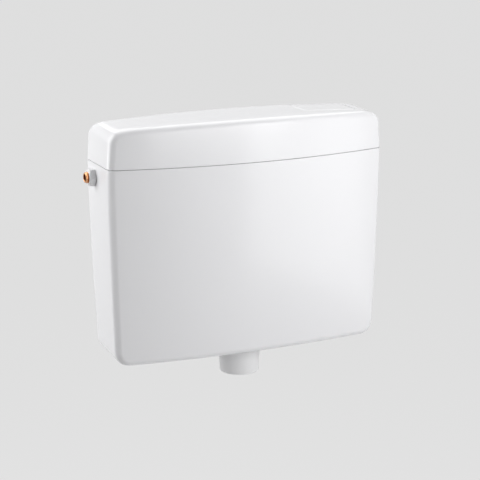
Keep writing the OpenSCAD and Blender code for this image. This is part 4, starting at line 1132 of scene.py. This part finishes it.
class CISTERN_OT_stage(bpy.types.Operator):
    """Set up the floor, the soft lights and the camera"""

    bl_idname = "cistern.stage"
    bl_label = "Stage"

    def execute(self, context):
        scene = context.scene
        scene.view_settings.view_transform = "Standard"
        ground = scene.cistern_colours.ground
        self.lay_floor(scene, ground)
        self.light_world(scene, ground)
        middle = Vector((0, -0.06, -0.1))
        for name, turn, tilt, far, wide, tall, watts in (
            ("key", 10, 20, 1.0, 0.8, 0.8, 4.6),
            ("front", 38, 13, 1.0, 0.7, 1.4, 3.8),
            ("side", -119, 19, 1.3, 1.2, 1.2, 14.4),
            ("top", 163, 57, 1.2, 1.2, 1.2, 6.8),
        ):
            lamp = bpy.data.lights.new(name, "AREA")
            lamp.shape = "RECTANGLE"
            lamp.size, lamp.size_y, lamp.energy = wide, tall, watts
            obj = bpy.data.objects.new(name, lamp)
            obj.visible_camera = False
            self.place(scene, obj, turn, tilt, far, middle)
        lens = bpy.data.cameras.new("camera")
        lens.sensor_width, lens.lens = 36, 118.8
        camera = bpy.data.objects.new("camera", lens)
        aim = Vector((-3.44, -65, -95.44)) * MM
        self.place(scene, camera, -23.76, 14.42, 2.38967, aim)
        scene.camera = camera
        return {"FINISHED"}

    @staticmethod
    def place(scene, obj, turn, tilt, far, aim):
        """Hang a lamp or the camera away from the aim, turned and tilted up by degrees, facing the aim."""
        turn, tilt = math.radians(turn), math.radians(tilt)
        back = Vector((math.sin(turn) * math.cos(tilt), -math.cos(turn) * math.cos(tilt), math.sin(tilt)))
        obj.location = aim + back * far
        obj.rotation_euler = (-back).to_track_quat("-Z", "Y").to_euler()
        scene.collection.objects.link(obj)

    @staticmethod
    def seen(tree):
        """One for rays from the camera, a mirror or a clear part, nought for those that light the object."""
        rays = add(tree, "ShaderNodeLightPath", {}).outputs
        either = rays["Is Camera Ray"]
        for ray in ("Is Glossy Ray", "Is Transmission Ray"):
            both = add(tree, "ShaderNodeMath", {"operation": "MAXIMUM"}, {0: either, 1: rays[ray]})
            either = both.outputs[0]
        return either

    @staticmethod
    def lay_floor(scene, ground):
        """Pale floor far enough down that the cistern hangs clear of it."""
        bm = bmesh.new()
        depth = Matrix.Translation((0, 0, -1.0))
        bmesh.ops.create_grid(bm, x_segments=1, y_segments=1, size=40, matrix=depth)
        mesh = bpy.data.meshes.new("floor")
        bm.to_mesh(mesh)
        bm.free()
        material = bpy.data.materials.new("painted floor")
        tree = empty_tree(material)
        seen = CISTERN_OT_stage.seen(tree)
        share = add(tree, "ShaderNodeMath", {"operation": "MULTIPLY", 1: 0.9}, {0: seen})
        body = add(tree, "ShaderNodeBsdfDiffuse", {"Color": (*ground, 1)})
        glow = add(tree, "ShaderNodeEmission", {"Color": (*ground, 1), "Strength": 1.075})
        shaders = {0: share.outputs[0], 1: body.outputs["BSDF"], 2: glow.outputs["Emission"]}
        both = add(tree, "ShaderNodeMixShader", {}, shaders)
        add(tree, "ShaderNodeOutputMaterial", {}, {"Surface": both.outputs["Shader"]})
        mesh.materials.append(material)
        floor = bpy.data.objects.new("floor", mesh)
        scene.collection.objects.link(floor)

    @staticmethod
    def light_world(scene, ground):
        """Soft light from all round but the near left corner; the camera sees the floor's colour."""
        world = bpy.data.worlds.new("studio")
        tree = empty_tree(world)
        way = add(tree, "ShaderNodeTexCoord", {}).outputs["Generated"]
        corner = {"operation": "DOT_PRODUCT", 1: (-0.707, -0.707, 0)}
        dark_side = add(tree, "ShaderNodeVectorMath", corner, {0: way})
        fade = {"interpolation_type": "SMOOTHSTEP", "From Min": -0.3, "From Max": 0.8}
        fade |= {"To Min": 0.6, "To Max": 0}
        dim = add(tree, "ShaderNodeMapRange", fade, {"Value": dark_side.outputs["Value"]})
        ends = {"Value": CISTERN_OT_stage.seen(tree), "To Min": dim.outputs["Result"]}
        level = add(tree, "ShaderNodeMapRange", {"To Max": 1.0}, ends)
        strength = {"Strength": level.outputs["Result"]}
        glow = add(tree, "ShaderNodeBackground", {"Color": (*ground, 1)}, strength)
        add(tree, "ShaderNodeOutputWorld", {}, {"Surface": glow.outputs["Background"]})
        scene.world = world


class CISTERN_PT_panel(bpy.types.Panel):
    """Sizes, colours and steps of the cistern"""

    bl_idname = "CISTERN_PT_panel"
    bl_label = "Cistern"
    bl_space_type = "VIEW_3D"
    bl_region_type = "UI"
    bl_category = "Cistern"

    def draw(self, context):
        for group in (context.scene.cistern_sizes, context.scene.cistern_colours):
            column = self.layout.column(align=True)
            for name in group.__annotations__:
                column.prop(group, name)
        for step in STEPS:
            self.layout.operator(step.bl_idname)


STEPS = (
    CISTERN_OT_finishes,
    CISTERN_OT_tank,
    CISTERN_OT_lid,
    CISTERN_OT_push_plate,
    CISTERN_OT_plate_spring,
    CISTERN_OT_inlet,
    CISTERN_OT_pipe_nut,
    CISTERN_OT_lever_gear,
    CISTERN_OT_flush_valve,
    CISTERN_OT_float_valve,
    CISTERN_OT_stage,
)
CLASSES = (CisternSizes, CisternColours, *STEPS, CISTERN_PT_panel)


def register():
    """Register the classes and hang the settings on the scene."""
    for cls in CLASSES:
        bpy.utils.register_class(cls)
    bpy.types.Scene.cistern_sizes = PointerProperty(type=CisternSizes)
    bpy.types.Scene.cistern_colours = PointerProperty(type=CisternColours)


def unregister():
    """Take the settings and the classes away again."""
    del bpy.types.Scene.cistern_colours
    del bpy.types.Scene.cistern_sizes
    for cls in reversed(CLASSES):
        bpy.utils.unregister_class(cls)


def main():
    """Model and finish the whole cistern."""
    register()
    for step in STEPS:
        getattr(bpy.ops.cistern, step.bl_idname.split(".")[1])()


if __name__ == "__main__":
    main()
